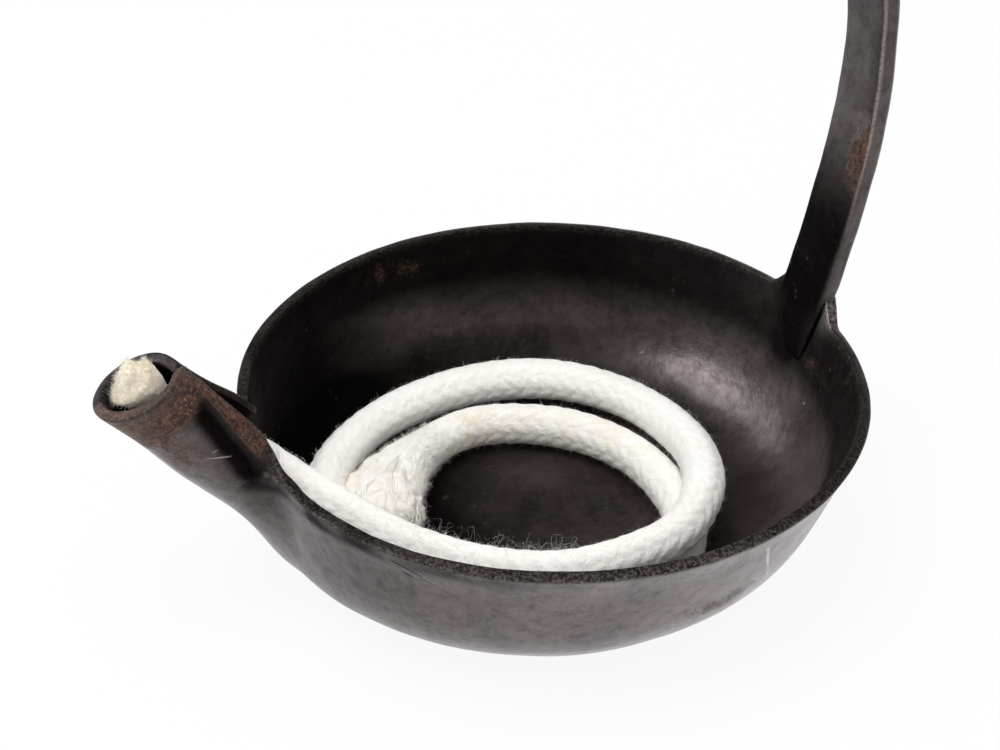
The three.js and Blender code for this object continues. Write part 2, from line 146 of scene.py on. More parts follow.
def makeMesh(name, points, faces, marks=None):
    # points in millimetres; faces a list of index arrays; marks are numbers per point
    mesh = bpy.data.meshes.new(name)
    flat = [np.asarray(f) for f in faces if len(f)]
    polygons = [f for block in flat for f in block.tolist()]
    mesh.from_pydata((np.asarray(points) * mm).tolist(), [], polygons)
    for key, values in (marks or {}).items():
        layer = mesh.attributes.new(key, "FLOAT", "POINT")
        layer.data.foreach_set("value", np.asarray(values, np.float32))
    mesh.polygons.foreach_set("use_smooth", np.ones(len(mesh.polygons), bool))
    mesh.update()
    piece = bpy.data.objects.new(name, mesh)
    bpy.context.scene.collection.objects.link(piece)
    return piece


def dress(piece, material, body, slot, *nodes):
    # Gives a piece its material, its body and the CAD nodes that it stands for; slot is not used
    piece.data.materials.append(material)
    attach(piece, body)
    if nodes:
        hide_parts(*nodes)


camera = dict(place=(-178.96, -461.99, 370.60), right=(0.93969, -0.34202, 0.0),
              up=(0.19195, 0.52737, 0.82767), back=(-0.28308, -0.77775, 0.56122),
              roll=1.18, lens=113.72, sensor=36.0, nearest=0.01, furthest=20)


def makeCamera(c):
    # The three directions turned by roll about the view, and the place, as one matrix
    data = bpy.data.cameras.new("camera")
    data.lens, data.sensor_width = c["lens"], c["sensor"]
    data.clip_start, data.clip_end = c["nearest"], c["furthest"]
    turn = math.radians(c["roll"])
    right, up, back = Vector(c["right"]), Vector(c["up"]), Vector(c["back"])
    rolledRight = right * math.cos(turn) + up * math.sin(turn)
    rolledUp = up * math.cos(turn) - right * math.sin(turn)
    holder = bpy.data.objects.new("camera", data)
    pose = Matrix((rolledRight, rolledUp, back)).transposed().to_4x4()
    pose.translation = Vector(c["place"]) * mm
    holder.matrix_world = pose
    bpy.context.scene.collection.objects.link(holder)
    bpy.context.scene.camera = holder


makeCamera(camera)
print("camera placed")


# bumps are (height, size, seed)
bowl = dict(rimRadius=60.0, height=32.0, footRadius=30.0, sheet=2.3, rimLean=math.radians(20),
            rimPull=18.0, footPull=29.0, footShift=(-3.2, 4.4), rimEase=math.radians(10),
            handleTurn=math.radians(11.5), barWidth=12.5, earHeight=5.0, earFlank=4.6, earThin=-0.2,
            edgeThin=0.06, lipRise=0.2, lipSquare=0.5, lipSteps=8, lipGrain=(0.07, 3.2, 8),
            dents=(0.22, 17, 3), smallDents=(0.06, 5.5, 4), innerDents=(0.06, 7, 6),
            rimWave=(0.35, 23, 5))
spout = dict(rise=math.radians(45), radius=8.25, crossing=63.0, reach=24.3, mouthSlant=2.9,
             belly=1.1, bellyStart=20.0, bellyFull=3.0, lapStep=0.5, fillet=7.0, lift=2.5,
             fanHeight=8.0, fanHalf=math.radians(26), fanSpread=0.35, mouthShare=0.52,
             nearSeam=-0.955, farSeam=0.972, nearRim=math.radians(20), farRim=math.radians(16.5),
             rimEase=0.45, cornerShare=0.2, cornerBack=0.9, edgeBand=1.5, bandFrom=0.8,
             farFlare=1.1, flarePlace=0.67, flareWide=0.075,
             flapThin=0.5, flapDepth=8, flapFrom=(0.5, 0.56), flapUntil=(0.78, 0.92),
             pinch=0.7, pinchTurn=math.radians(14), pinchWide=math.radians(6))
# the flaps' free edges as (share of the reach, share of half a turn), then places up to the rim
nearEdgeShares = [(0.87, -0.925), (0.73, -0.904), (0.6, -0.886), (0.47, -0.866), (0.33, -0.845),
                  (0.2, -0.826), (0.09, -0.803), (0.033, -0.782)]
nearEdgePlaces = [(-57.95, -6.4, 35.5), (-57.6, -7.25, 34.7), (-57.45, -9.0, 33.6),
                  (-57.4, -10.7, 32.95), (-57.25, -12.4, 32.5), (-56.95, -14.0, 32.3),
                  (-56.7, -17.0, 32.1)]
farEdgeShares = [(0.62, 0.972), (0.37, 0.967), (0.18, 0.955), (0.06, 0.935), (0.005, 0.88),
                 (-0.01, 0.82), (-0.04, 0.75), (-0.09, 0.667)]
net = dict(fanColumns=30, rimColumns=50, wallRings=5, fanRings=11, finer=5, footRows=8,
           relaxSteps=60, fineSteps=24, fineAside=0.3, fineSettle=4, normalSteps=3, wallSteps=6)

spoutAxis = np.array([-math.cos(spout["rise"]), 0, math.sin(spout["rise"])])
spoutDown = np.array([-math.sin(spout["rise"]), 0, -math.cos(spout["rise"])])
spoutSide = np.array([0.0, 1.0, 0.0])
spoutRoot = np.array([-spout["crossing"], 0, bowl["height"]])


def bezier(points, t):
    # The cubic that leaves its first point towards the second and ends at the fourth from the third
    t = np.asarray(t, float)[..., None]
    a, b, c, d = (np.asarray(p, float) for p in points)
    return a * (1 - t) ** 3 + 3 * b * t * (1 - t) ** 2 + 3 * c * t**2 * (1 - t) + d * t**3


# the bowl's outside from the foot's edge up to the rim, as (radius, height)
outlinePoints = [(bowl["footRadius"], 0),
                 (bowl["footRadius"] + bowl["footPull"], 0),
                 (bowl["rimRadius"] - bowl["rimPull"] * math.sin(bowl["rimLean"]),
                  bowl["height"] - bowl["rimPull"] * math.cos(bowl["rimLean"])),
                 (bowl["rimRadius"], bowl["height"])]
outline = bezier(outlinePoints, np.linspace(0, 1, 2001))
outlineGrowth = np.gradient(outline[:, 0]) / np.maximum(np.gradient(outline[:, 1]), 1e-9)


def outlineAt(z):
    # Outer radius at a height and how fast it grows; above the rim the wall leans on
    lean = math.tan(bowl["rimLean"])
    above = np.maximum(z - bowl["height"], 0)
    radius = np.interp(z, outline[:, 1], outline[:, 0]) + above * lean
    growth = np.where(above > 0, lean, np.interp(z, outline[:, 1], outlineGrowth))
    return radius, growth


def bowlPoint(turn, radius, z):
    # Circles whose middles slide from the rim's middle to the foot's
    share = np.clip(1 - z / bowl["height"], 0, 1)
    return np.stack([bowl["footShift"][0] * share + radius * np.cos(turn),
                     bowl["footShift"][1] * share + radius * np.sin(turn), z + 0 * turn], -1)


def spoutRadiusAt(along, angle):
    # Wider underneath near the bowl, and stepping in with the angle so that the flaps lap
    bell = 1 - smoothStep(along, spout["bellyFull"], spout["bellyStart"])
    return (spout["radius"] + spout["belly"] * bell * (1 + np.cos(angle)) / 2
            - spout["lapStep"] * angle / math.pi)


def spoutPoint(along, angle):
    # A circle about the spout's axis, its angle counted from underneath
    along, angle = np.broadcast_arrays(np.asarray(along, float), np.asarray(angle, float))
    radius = spoutRadiusAt(along, angle)
    return (spoutRoot + along[..., None] * spoutAxis + (radius * np.cos(angle))[..., None] * spoutDown
            + (radius * np.sin(angle))[..., None] * spoutSide)


def sheetDistance(p):
    # Distance outside a filled bowl and a filled spout, joined by a hollow blend
    share = np.clip(1 - p[..., 2] / bowl["height"], 0, 1)
    radius, growth = outlineAt(p[..., 2])
    reach = np.hypot(p[..., 0] - bowl["footShift"][0] * share,
                     p[..., 1] - bowl["footShift"][1] * share)
    turned = np.arctan2(-p[..., 1], -p[..., 0])
    pinched = np.exp(-((turned - spout["pinchTurn"]) / spout["pinchWide"])**2)
    pinched = spout["pinch"] * pinched * (1 - share)**2
    above = np.maximum(p[..., 2] - bowl["height"], 0)
    wall = (reach + pinched - radius) / np.hypot(1, growth) + spout["lift"] * above
    away = p - spoutRoot
    down, side = away @ spoutDown, away @ spoutSide
    tube = np.hypot(down, side) - spoutRadiusAt(away @ spoutAxis, np.arctan2(side, down))
    overlap = np.maximum(spout["fillet"] - np.abs(wall - tube), 0) / spout["fillet"]
    return np.minimum(wall, tube) - overlap**2 * spout["fillet"] / 4


def sheetSlope(p, probe=0.023):
    # Slope of the distance along x, y and z, from two probes each
    out = np.empty_like(p)
    for k in range(3):
        step = np.zeros(3)
        step[k] = probe
        out[..., k] = (sheetDistance(p + step) - sheetDistance(p - step)) / (2 * probe)
    return out


def settle(p, steps=5):
    # Newton steps along the slope of the distance onto the surface
    for _ in range(steps):
        slope = sheetSlope(p)
        p = p - slope * (sheetDistance(p) / np.maximum((slope**2).sum(-1), 1e-9))[..., None]
    return p


def mouthPoint(angle):
    # The mouth's slanted ring, set back a little at the seam so that its corners are round
    back = spout["cornerBack"] * smoothStep(np.abs(angle) / math.pi, 0.84, 0.97)
    return spoutPoint(spout["reach"] + spout["mouthSlant"] * np.cos(angle) - back, angle)


def flapEdge(side, seam, shares, places, rimTurn):
    # The free edge of one flap, from the mouth along the seam and round onto the rim
    between = rimTurn + (spout["fanHalf"] - rimTurn) * spout["rimEase"]
    turns = np.array([rimTurn, between, spout["fanHalf"]])
    rim = bowlPoint(math.pi - side * turns, bowl["rimRadius"], np.full(3, bowl["height"]))
    points = [mouthPoint(np.array(seam * math.pi))]
    points += [spoutPoint(a * spout["reach"], b * math.pi) for a, b in shares]
    return throughPoints(np.vstack([np.array(points + places), rim]))


edgeLines = {-1: flapEdge(-1, spout["nearSeam"], nearEdgeShares, nearEdgePlaces, spout["nearRim"]),
             1: flapEdge(1, spout["farSeam"], farEdgeShares, [], spout["farRim"])}


def fanEnd(across):
    # End point of each column round the spout and the way it runs there: the mouth's ring in
    # the middle, then the flaps' free edges
    end, heading = np.empty((len(across), 3)), np.empty((len(across), 3))
    for side, seam in ((-1, spout["nearSeam"]), (1, spout["farSeam"])):
        mine = (across < 0) if side < 0 else (across >= 0)
        share = np.abs(across[mine])
        past = np.clip((share - spout["mouthShare"]) / (1 - spout["mouthShare"]), 0, 1)
        line = edgeLines[side]
        length = lineLength(line)
        onEdge = alongLine(line, past * length)
        way = unit(alongLine(line, past * length + 0.2) - alongLine(line, past * length - 0.2))
        normal = sheetSlope(onEdge - np.array([0, 0, spout["edgeBand"] / 2]))
        turned = smoothStep(past, 0, spout["cornerShare"])[:, None]
        inwardWay = unit(np.cross(normal, way)) * -side
        onMouth = mouthPoint(np.minimum(share / spout["mouthShare"], 1) * seam * math.pi)
        end[mine] = np.where(past[:, None] > 0, onEdge, onMouth)
        heading[mine] = unit(spoutAxis * (1 - turned) + inwardWay * turned)
    return end, heading


def relaxFan(fan, steps, keep, aside=0.2, settleEach=1):
    # Each inner point moves to the mean of its four neighbours, aside being the share of the two
    # beside it, then back onto the surface; the points that keep marks, and the outer ones, stay
    for step in range(steps):
        along = (fan[1:-1, :-2] + fan[1:-1, 2:]) / 2
        beside = (fan[:-2, 1:-1] + fan[2:, 1:-1]) / 2
        moved = along * (1 - aside) + beside * aside
        if step % settleEach == settleEach - 1:
            moved = settle(moved, 3)
        fan[1:-1, 1:-1] = np.where(keep[1:-1, 1:-1, None], fan[1:-1, 1:-1], moved)
    return fan


def fanTurns(across):
    # Turn of each column at the fan's foot, closer together in the middle
    spread = spout["fanSpread"] + (1 - spout["fanSpread"]) * across**2
    return math.pi - spout["fanHalf"] * spread * across


def makeFan():
    # Outside net round the spout, [column, ring] from the wall's foot up to the free edge
    across = np.linspace(-1, 1, net["fanColumns"] + 1)
    turn = fanTurns(across)
    radius, growth = outlineAt(np.full(len(turn), spout["fanHeight"]))
    start = bowlPoint(turn, radius, np.full(len(turn), spout["fanHeight"]))
    end, heading = fanEnd(across)
    end = settle(end)
    banded = (np.abs(across) > spout["bandFrom"])[:, None]
    band = np.where(banded, settle(end - heading * spout["edgeBand"]), end)
    pull = np.linalg.norm(band - start, axis=1)[:, None] / 3
    rise = unit(np.stack([growth * np.cos(turn), growth * np.sin(turn), np.ones_like(turn)], -1))
    rings = net["fanRings"]
    free = np.where(banded[:, 0], rings - 1, rings)
    fan = np.empty((len(turn), rings + 1, 3))
    for ring in range(rings + 1):
        t = np.minimum(ring / free, 1)[:, None]
        fan[:, ring] = (start * (1 - t)**3 + 3 * (start + rise * pull) * t * (1 - t)**2
                        + 3 * (band - heading * pull) * t**2 * (1 - t) + band * t**3)
    fan[:, 1:rings] = settle(fan[:, 1:rings])
    fan[:, rings] = end
    keep = np.zeros(fan.shape[:2], bool)
    keep[:, rings - 1] = banded[:, 0]
    fan = relaxFan(fan, net["relaxSteps"], keep)
    lowered = np.array([0, 0, spout["edgeBand"] / 2]) * (np.arange(rings + 1) == rings)[None, :, None]
    normals = -unit(sheetSlope(fan - lowered))
    for _ in range(net["normalSteps"]):
        padded = np.concatenate([normals[:, :1], normals, normals[:, -1:]], 1)
        mixed = normals[1:-1] + normals[:-2] + normals[2:] + padded[1:-1, :-2] + padded[1:-1, 2:]
        normals[1:-1, 1:] = unit(mixed[:, 1:])
    k = net["finer"]
    fine = refine(refine(fan, k, 0), k, 1)
    fineAcross = np.linspace(-1, 1, len(fine))
    fine[:, 1:] = settle(fine[:, 1:])
    fine[:, -1] = settle(fanEnd(fineAcross)[0])
    keep = np.zeros(fine.shape[:2], bool)
    fine = relaxFan(fine, net["fineSteps"], keep, net["fineAside"], net["fineSettle"])
    fineNormals = unit(refine(refine(normals, k, 0), k, 1))
    return fine, fineNormals, fineAcross


def inwardWays(outside, fanNormals, netStart):
    # Unit directions into the sheet: square to the rows and columns, level on the foot, and the
    # blend's own slope round the spout; each then takes the mean with its four neighbours
    footRows = net["footRows"]
    sideways = np.roll(outside, -1, 1) - np.roll(outside, 1, 1)
    inwards = unit(np.cross(sideways, np.gradient(outside, axis=0)))
    inwards[:footRows] = (0, 0, 1)
    inwards[netStart:, 1:len(fanNormals) - 1] = np.swapaxes(fanNormals, 0, 1)[1:, 1:-1]
    for _ in range(net["wallSteps"]):
        mixed = inwards + np.roll(inwards, 1, 1) + np.roll(inwards, -1, 1)
        mixed[1:-1] += inwards[:-2] + inwards[2:]
        inwards[footRows - 2:] = unit(mixed[footRows - 2:])
    return inwards


def lipRows(outside, inside, inwards):
    # Rows over the free edge: a squared half ring from the outer face to the inner one, its
    # middle on the sheet's middle, roughened by noise
    way = np.roll(outside, -1, 0) - np.roll(outside, 1, 0)
    beyond = unit(np.cross(inwards, way))
    middle, halfWall = (outside + inside) / 2, (outside - inside) / 2
    rise, square = bowl["sheet"] * bowl["lipRise"], bowl["lipSquare"]
    lip = []
    for angle in np.linspace(0, math.pi, bowl["lipSteps"])[1:-1]:
        flatCos = math.copysign(abs(math.cos(angle))**square, math.cos(angle))
        lip.append(middle + halfWall * flatCos + beyond * rise * math.sin(angle)**square)
    lip = np.stack(lip)
    return lip + bumps(lip, *bowl["lipGrain"])[..., None] * beyond


# steps are (strength, from, to), patches (middle, half sizes, strength), bumps (height, size, seed)
bowlWear = dict(lip=(0.5, 4.0), mouthRust=(0.85, 13, 18.5), stripRust=(0.95, 0.595, 0.665),
                stripFall=0.011, band=(0.52, 0.09), bandEnd=(14, 19), lowRust=(0.6, 3, 10),
                lowRustSides=(0.1, 0.25), lowRustEnd=(0.42, 0.56),
                spoutFrom=(-6, 2), spoutRound=(11, 16), spoutAbove=22,
                spoutRust=0.1, farRust=0.45, lipRust=0.25, innerRust=0.55,
                rustInside=[((-17, 54, 28), (15, 9, 4.5), 0.52), ((10, 56, 22), (26, 10, 7), 0.25),
                            ((57.5, -15, 29), (4, 9, 4), 0.5), ((54, 0, 25), (5, 9, 5), 0.45),
                            ((52, 16, 30), (6, 8, 6), 0.3)],
                rustOutside=((13, -51, 15), (15, 6, 4), 0.62),
                # lighter places on the lip and edges, partly rubbed bare and partly painted highlight
                bareRim=[((2, -59, 31), (36, 6, 4), 0.5), ((-34, -48, 31), (14, 9, 4), 0.3),
                         ((59.5, 4.5, 35), (3, 4, 4), 0.9)],
                bareOuterEdge=0.8, outerEdgeRows=1.3, outerEdgeFrom=(-10, 14), outerEdgeEnd=(-2, 2),
                edgeBreaks=(0.3, 4, 9), bareInnerEdge=((-58, -19, 33), (11, 16, 9), 1.0),
                innerEdgeRows=1.5, bareMouthEdge=(0.5, 12, 18), bareFlapEdge=(0.5, -4, 2),
                # painted shade: steps and patches that darken and dull the iron, and a patch by the ear
                # without it
                highShade=(0.96, 12, 24), leftShade=(0.97, -36, 2), floorShade=(0.45, 5, 12),
                footShade=((55, 12, 25), (8, 9, 10), 1.3), unshadedEar=((59.5, 4.5, 35), (3, 3.5, 3.5), 1),
                bandShade=0.95, spoutShade=0.25, creaseShade=((-60, -8.5, 29), (4, 4, 4), 0.3),
                leftOutside=(0.45, -52, -14), leftOffSpout=(-8, 0), rightOutside=(0.48, 22, 50),
                underRim=(0.6, 27.5, 30), underRimEnd=(-34, -6), underRimOffSpout=(-6, 0),
                underRimBreaks=(0.5, 5, 10),
                # the lip darker and duller, except in a patch by the handle
                lipDark=0.85, undarkenedLip=((59.8, 4, 35), (3.5, 3.5, 4.5), 1))


def rising(x, strength, low, high):
    # 0 below low, strength above high, eased between
    return strength * smoothStep(x, low, high)


def falling(x, strength, low, high):
    # strength below low, 0 above high, eased between
    return strength * (1 - smoothStep(x, low, high))


def patch(points, middle, sizes, strength):
    # Strength times e to the minus squared distance, counted in half sizes
    away = (points - np.array(middle)) / np.array(sizes)
    return strength * np.exp(-(away**2).sum(-1))


def bowlMarks(points, lipStart, lipEnd):
    # Numbers for the finish at each point [row, column]: worn lip, rust, wear and painted highlight,
    # painted shade, and outside; from the rows next to the lip, the place on the spout, and soft
    # patches
    w = bowlWear
    total, count = points.shape[:2]
    row = np.arange(total)[:, None] * np.ones((1, count))
    inner = (row >= lipEnd).astype(float)
    outer = 1 - inner
    fromLip = np.where(row < lipStart, lipStart - row, np.where(row >= lipEnd, row - lipEnd + 1, 0))
    rim = 1 - smoothStep(fromLip, *w["lip"])
    x, y, z = np.moveaxis(points, -1, 0)
    fromRoot = points - spoutRoot
    along, down, side = fromRoot @ spoutAxis, fromRoot @ spoutDown, fromRoot @ spoutSide
    up = np.abs(np.arctan2(side, down)) / math.pi
    onSpout = smoothStep(along, *w["spoutFrom"]) * (z > w["spoutAbove"])
    onSpout = onSpout * falling(np.hypot(down, side), 1, *w["spoutRound"])
    # rust runs round the mouth and along the top of the near flap; between them a band of
    # painted shade makes the iron black
    level = up - w["stripFall"] * along
    rusty = np.maximum(rising(level, *w["stripRust"]), rising(along, *w["mouthRust"]))
    low = rising(along, *w["lowRust"]) * falling(up, 1, *w["lowRustEnd"])
    low = low * smoothStep(up, *w["lowRustSides"])
    rusty = np.clip(w["spoutRust"] + np.maximum(rusty, low), 0, 1)
    rust = onSpout * rusty * np.where(side > 0, w["farRust"], 1)
    rust = rust * (1 - w["lipRust"] * rim) * (1 - w["innerRust"] * inner)
    rust += sum(patch(points, *p) for p in w["rustInside"]) * inner
    rust += patch(points, *w["rustOutside"]) * outer
    # the lip is lighter in places, partly rubbed bare and partly a painted highlight: along its outer
    # edge on the near side, along its inner edge by the spout and round the mouth, and on the near flap
    wearAndHighlight = sum(patch(points, *p) for p in w["bareRim"])
    outerEdge = np.exp(-((row - lipStart) / w["outerEdgeRows"])**2)
    outerEdge = outerEdge * smoothStep(-y, *w["outerEdgeFrom"]) * falling(along, 1, *w["outerEdgeEnd"])
    wearAndHighlight += w["bareOuterEdge"] * outerEdge * (0.7 + bumps(points, *w["edgeBreaks"]))
    innerEdge = np.exp(-((row - lipEnd) / w["innerEdgeRows"])**2)
    wearAndHighlight += (innerEdge * (patch(points, *w["bareInnerEdge"]) + rising(along, *w["bareMouthEdge"]))
             + rising(along, *w["bareFlapEdge"]) * rim * (side < 0))
    # painted shade, which also dulls the iron: inside on the high wall, the left, the floor and round
    # the handle's foot but not the ear; outside on a band and all over the spout, by its crease, on the
    # left and right and under the rim; the rest is oily
    band = onSpout * np.exp(-((level - w["band"][0]) / w["band"][1])**2)
    band = band * falling(along, 1, *w["bandEnd"]) * (side < 0)
    innerShade = np.maximum(rising(z, *w["highShade"]), falling(x, *w["leftShade"]))
    dullShade = inner * np.maximum(innerShade, patch(points, *w["footShade"]))
    dullShade = dullShade * (1 - patch(points, *w["unshadedEar"]))
    dullShade += outer * falling(x, *w["leftOutside"]) * falling(along, 1, *w["leftOffSpout"])
    dullShade += (outer * (w["bandShade"] * band + w["spoutShade"] * onSpout + patch(points, *w["creaseShade"]))
            + inner * falling(z, *w["floorShade"]))
    underRim = rising(z, *w["underRim"]) * falling(x, 1, *w["underRimEnd"])
    underRim = underRim * falling(along, 1, *w["underRimOffSpout"])
    underRim = underRim * (0.7 + bumps(points, *w["underRimBreaks"]))
    dullShade += outer * (underRim + rising(x, *w["rightOutside"]))
    # the lip is darker and duller, except in a patch by the handle
    dullShade = np.maximum(dullShade, w["lipDark"] * rim * (1 - patch(points, *w["undarkenedLip"])))
    marks = {"rim": rim, "rust": np.clip(rust, 0, 1), "wearAndHighlight": np.clip(wearAndHighlight, 0, 1),
             "dullShade": np.clip(dullShade, 0, 1), "outer": outer}
    return {name: perPoint(values) for name, values in marks.items()}


def outerRows(fan, turns, turnsRim, raised, toFar, toNear):
    # Rows of the outside from the foot's first ring to the free edge: level rings, the wall by
    # its outline, then the net round the spout joined to rings that rise to the rim
    count = len(turns)
    footRadii = bowl["footRadius"] * np.linspace(0, 1, net["footRows"] + 1)[1:]
    rows = [bowlPoint(turns, r, np.zeros(count)) for r in footRadii]
    wallShare = np.searchsorted(outline[:, 1], spout["fanHeight"]) / (len(outline) - 1)
    wallRows = net["wallRings"] * net["finer"]
    for share in np.arange(1, wallRows + 1) / wallRows:
        radius, z = bezier(outlinePoints, share * wallShare)
        rows.append(bowlPoint(turns, radius, np.full(count, z)))
    top = bowl["height"] + raised
    farHeights, nearHeights = fan[-1, :, 2], fan[0, :, 2]
    fanRows = net["fanRings"] * net["finer"]
    for row in range(1, fanRows + 1):
        z = spout["fanHeight"] + (top - spout["fanHeight"]) * row / fanRows
        z = z * (1 - toFar - toNear) + farHeights[row] * toFar + nearHeights[row] * toNear
        rows.append(np.concatenate([fan[:, row], bowlPoint(turnsRim, outlineAt(z)[0], z)]))
    return np.stack(rows)


def makeBowl():
    # One closed sheet: the outside from the foot's middle to the free edge, a squared lip, and
    # the inside back to the middle, each point of it one sheet thickness behind the outside
    fan, fanNormals, fineAcross = makeFan()
    rimCount = net["rimColumns"] * net["finer"] + 1
    turnsRim = np.linspace(math.pi - spout["fanHalf"], spout["fanHalf"] - math.pi, rimCount)[1:-1]
    turns = np.concatenate([fanTurns(fineAcross), turnsRim])
    away = np.abs(turnsRim - bowl["handleTurn"]) * bowl["rimRadius"]
    half = bowl["barWidth"] / 2
    raised = falling(away, bowl["earHeight"], half - bowl["earFlank"] / 2, half + bowl["earFlank"])
    toFar = falling(turnsRim[0] - turnsRim, 1, 0, bowl["rimEase"])
    toNear = falling(turnsRim - turnsRim[-1], 1, 0, bowl["rimEase"])
    outside = outerRows(fan, turns, turnsRim, raised, toFar, toNear)
    footRows, fanRows = net["footRows"], net["fanRings"] * net["finer"]
    inwards = inwardWays(outside, fanNormals, footRows + net["wallRings"] * net["finer"])
    # the wall thins a little towards the rim, and more at the flaps' free edges; the far one flares
    rows, plain = len(outside), np.zeros(len(fan))
    row = np.arange(rows)
    rowShare = np.clip((row - (rows - 1 - fanRows / 3)) / (fanRows / 3), 0, 1)[:, None]
    thin = np.concatenate([plain, raised / bowl["earHeight"] * bowl["earThin"]])[None, :]
    edge = rising(rowShare, bowl["edgeThin"], 0.3, 1)
    toEdge = falling(rows - 1 - row, 1, 0, spout["flapDepth"])[:, None]
    offFan = np.full(len(turnsRim), 2.0)
    flapPlace = np.concatenate([np.abs(fineAcross), offFan])
    onFlap = smoothStep(flapPlace, *spout["flapFrom"]) * falling(flapPlace, 1, *spout["flapUntil"])
    onFlap = onFlap[None, :]
    farSide = (np.concatenate([fineAcross, -offFan]) > 0)[None, :]
    thickness = (bowl["sheet"] * (1 - thin * rowShare) * (1 - edge * (1 - thin))
                 * (1 - spout["flapThin"] * onFlap * toEdge))
    fromFlare = (flapPlace - spout["flarePlace"]) / spout["flareWide"]
    flare = spout["farFlare"] * np.exp(-fromFlare**2)[None, :] * farSide * toEdge
    outside = outside - inwards * flare[..., None]
    # hammered unevenness, the same on both faces so that the wall keeps its thickness
    calm = smoothStep(row, footRows - 1, footRows + 8)[:, None]
    dents = bumps(outside, *bowl["dents"]) + bumps(outside, *bowl["smallDents"])
    outside = outside + inwards * (dents * calm)[..., None]
    onRim = np.concatenate([plain, 1 - np.maximum(toFar, toNear)])[None, :]
    outside[..., 2] += smoothStep(rowShare, 0.2, 1) * onRim * bumps(outside, *bowl["rimWave"])
    inside = outside + inwards * thickness[..., None]
    inside += inwards * (bumps(inside, *bowl["innerDents"]) * calm)[..., None]
    lip = lipRows(outside[-1], inside[-1], inwards[-1])
    points = np.concatenate([outside, lip, inside[::-1]])
    middle = bowlPoint(0.0, 0.0, 0.0)
    allPoints, faces = closedRings(points, middle, middle + np.array([0, 0, bowl["sheet"]]), flip=True)
    return makeMesh("bowl", allPoints, faces, bowlMarks(points, rows, rows + len(lip)))


def earTopReach(z):
    # Outer face of the ear in the handle's plane, and how fast it grows
    radius, growth = outlineAt(np.asarray(z, float))
    share = np.clip(1 - np.asarray(z) / bowl["height"], 0, 1)
    turn = bowl["handleTurn"]
    shift = bowl["footShift"][0] * math.cos(turn) + bowl["footShift"][1] * math.sin(turn)
    return radius + share * shift, growth


# places along the bar are counted from the tongue's tip
arm = dict(width=12.5, thick=4.0, lean=math.radians(15.5), inset=0.2, leanPull=20.0, uprightPull=18.0,
           archRadius=104.0, archBase=57.0, overhang=9.0, archTurn=math.radians(64.5),
           crookRadius=14.0, crookTurn=math.radians(150), crookWidth=6.0, crookThick=4.6,
           tipWidth=4.4, tipThick=3.0, tongueDepth=9.5, tongueSkew=3.0, tongueThick=1.25,
           tongueEdge=0.1, tongueTipWidth=4.0, sunk=0.7, insideEar=0.7, hugUntil=(2, 8),
           footRise=1.8, footEase=3.6, footLean=0.3, easeFrom=(3, 8), easeUntil=(24, 34),
           freeFrom=(12, 22), corner=0.27, endRound=1.6, wave=(0.03, 9.5, 11),
           hammer=(0.16, 11, 12), facets=(0.1, 4.5, 13), stations=520,
           tongueStations=5, leanStations=9, archStations=18, crookStations=14)


def armStations(a):
    # Stations in the handle's plane as reach, height, thickness, width, skew: the tongue lies
    # on the inside wall and is sunk into it, the foot closes over the ear, the bar leans out
    # and up, arches over, and ends in a small crook
    stations = []
    for share in np.linspace(0, 1, a["tongueStations"]):
        z = bowl["height"] - a["tongueDepth"] * (1 - share)
        outer, growth = earTopReach(z)
        wall = float(outer - bowl["sheet"] * math.hypot(1, growth))
        width = a["tongueTipWidth"] + (a["width"] - a["tongueTipWidth"]) * math.sin(share * math.pi / 2)
        skew = a["tongueSkew"] * (1 - share)**2
        face = wall - (a["tongueEdge"] + (a["tongueThick"] - a["tongueEdge"]) * share**0.7)
        back = wall + a["sunk"]
        stations.append(((face + back) / 2, z, back - face, width, -skew))
    foot = bowl["height"] + bowl["earHeight"] + a["footRise"]
    footReach = bowl["rimRadius"] + a["inset"]
    rise = bowl["height"] + bowl["earHeight"] / 2
    back = float(earTopReach(rise)[0]) - a["insideEar"]
    face = (stations[-1][0] - stations[-1][2] / 2 + footReach - a["thick"] / 2) / 2
    stations.append(((face + back) / 2, rise, back - face, a["width"], 0))
    top, base = bowl["rimRadius"] + a["overhang"], bowl["height"] + a["archBase"]
    pulled = (footReach + a["leanPull"] * math.sin(a["lean"]),
              foot + a["leanPull"] * math.cos(a["lean"]))
    lean = bezier([(footReach, foot), pulled, (top, base - a["uprightPull"]), (top, base)],
                  np.arange(a["leanStations"]) / a["leanStations"])
    stations += [(r, z, a["thick"], a["width"], 0) for r, z in lean]
    share = np.arange(a["archStations"]) / a["archStations"]
    turn = a["archTurn"] * share
    stations += list(zip(top - a["archRadius"] * (1 - np.cos(turn)),
                         base + a["archRadius"] * np.sin(turn),
                         a["thick"] + (a["crookThick"] - a["thick"]) * share**2,
                         a["width"] + (a["crookWidth"] - a["width"]) * share**2, 0 * share))
    bend = a["archRadius"] - a["crookRadius"]
    share = np.linspace(0, 1, a["crookStations"])
    turn = a["archTurn"] + a["crookTurn"] * share
    middleReach = top - a["archRadius"] + bend * math.cos(a["archTurn"])
    middleHeight = base + bend * math.sin(a["archTurn"])
    stations += list(zip(middleReach + a["crookRadius"] * np.cos(turn),
                         middleHeight + a["crookRadius"] * np.sin(turn),
                         a["crookThick"] + (a["tipThick"] - a["crookThick"]) * share,
                         a["crookWidth"] + (a["tipWidth"] - a["crookWidth"]) * share, 0 * share))
    return np.array([[float(v) for v in s] for s in stations])


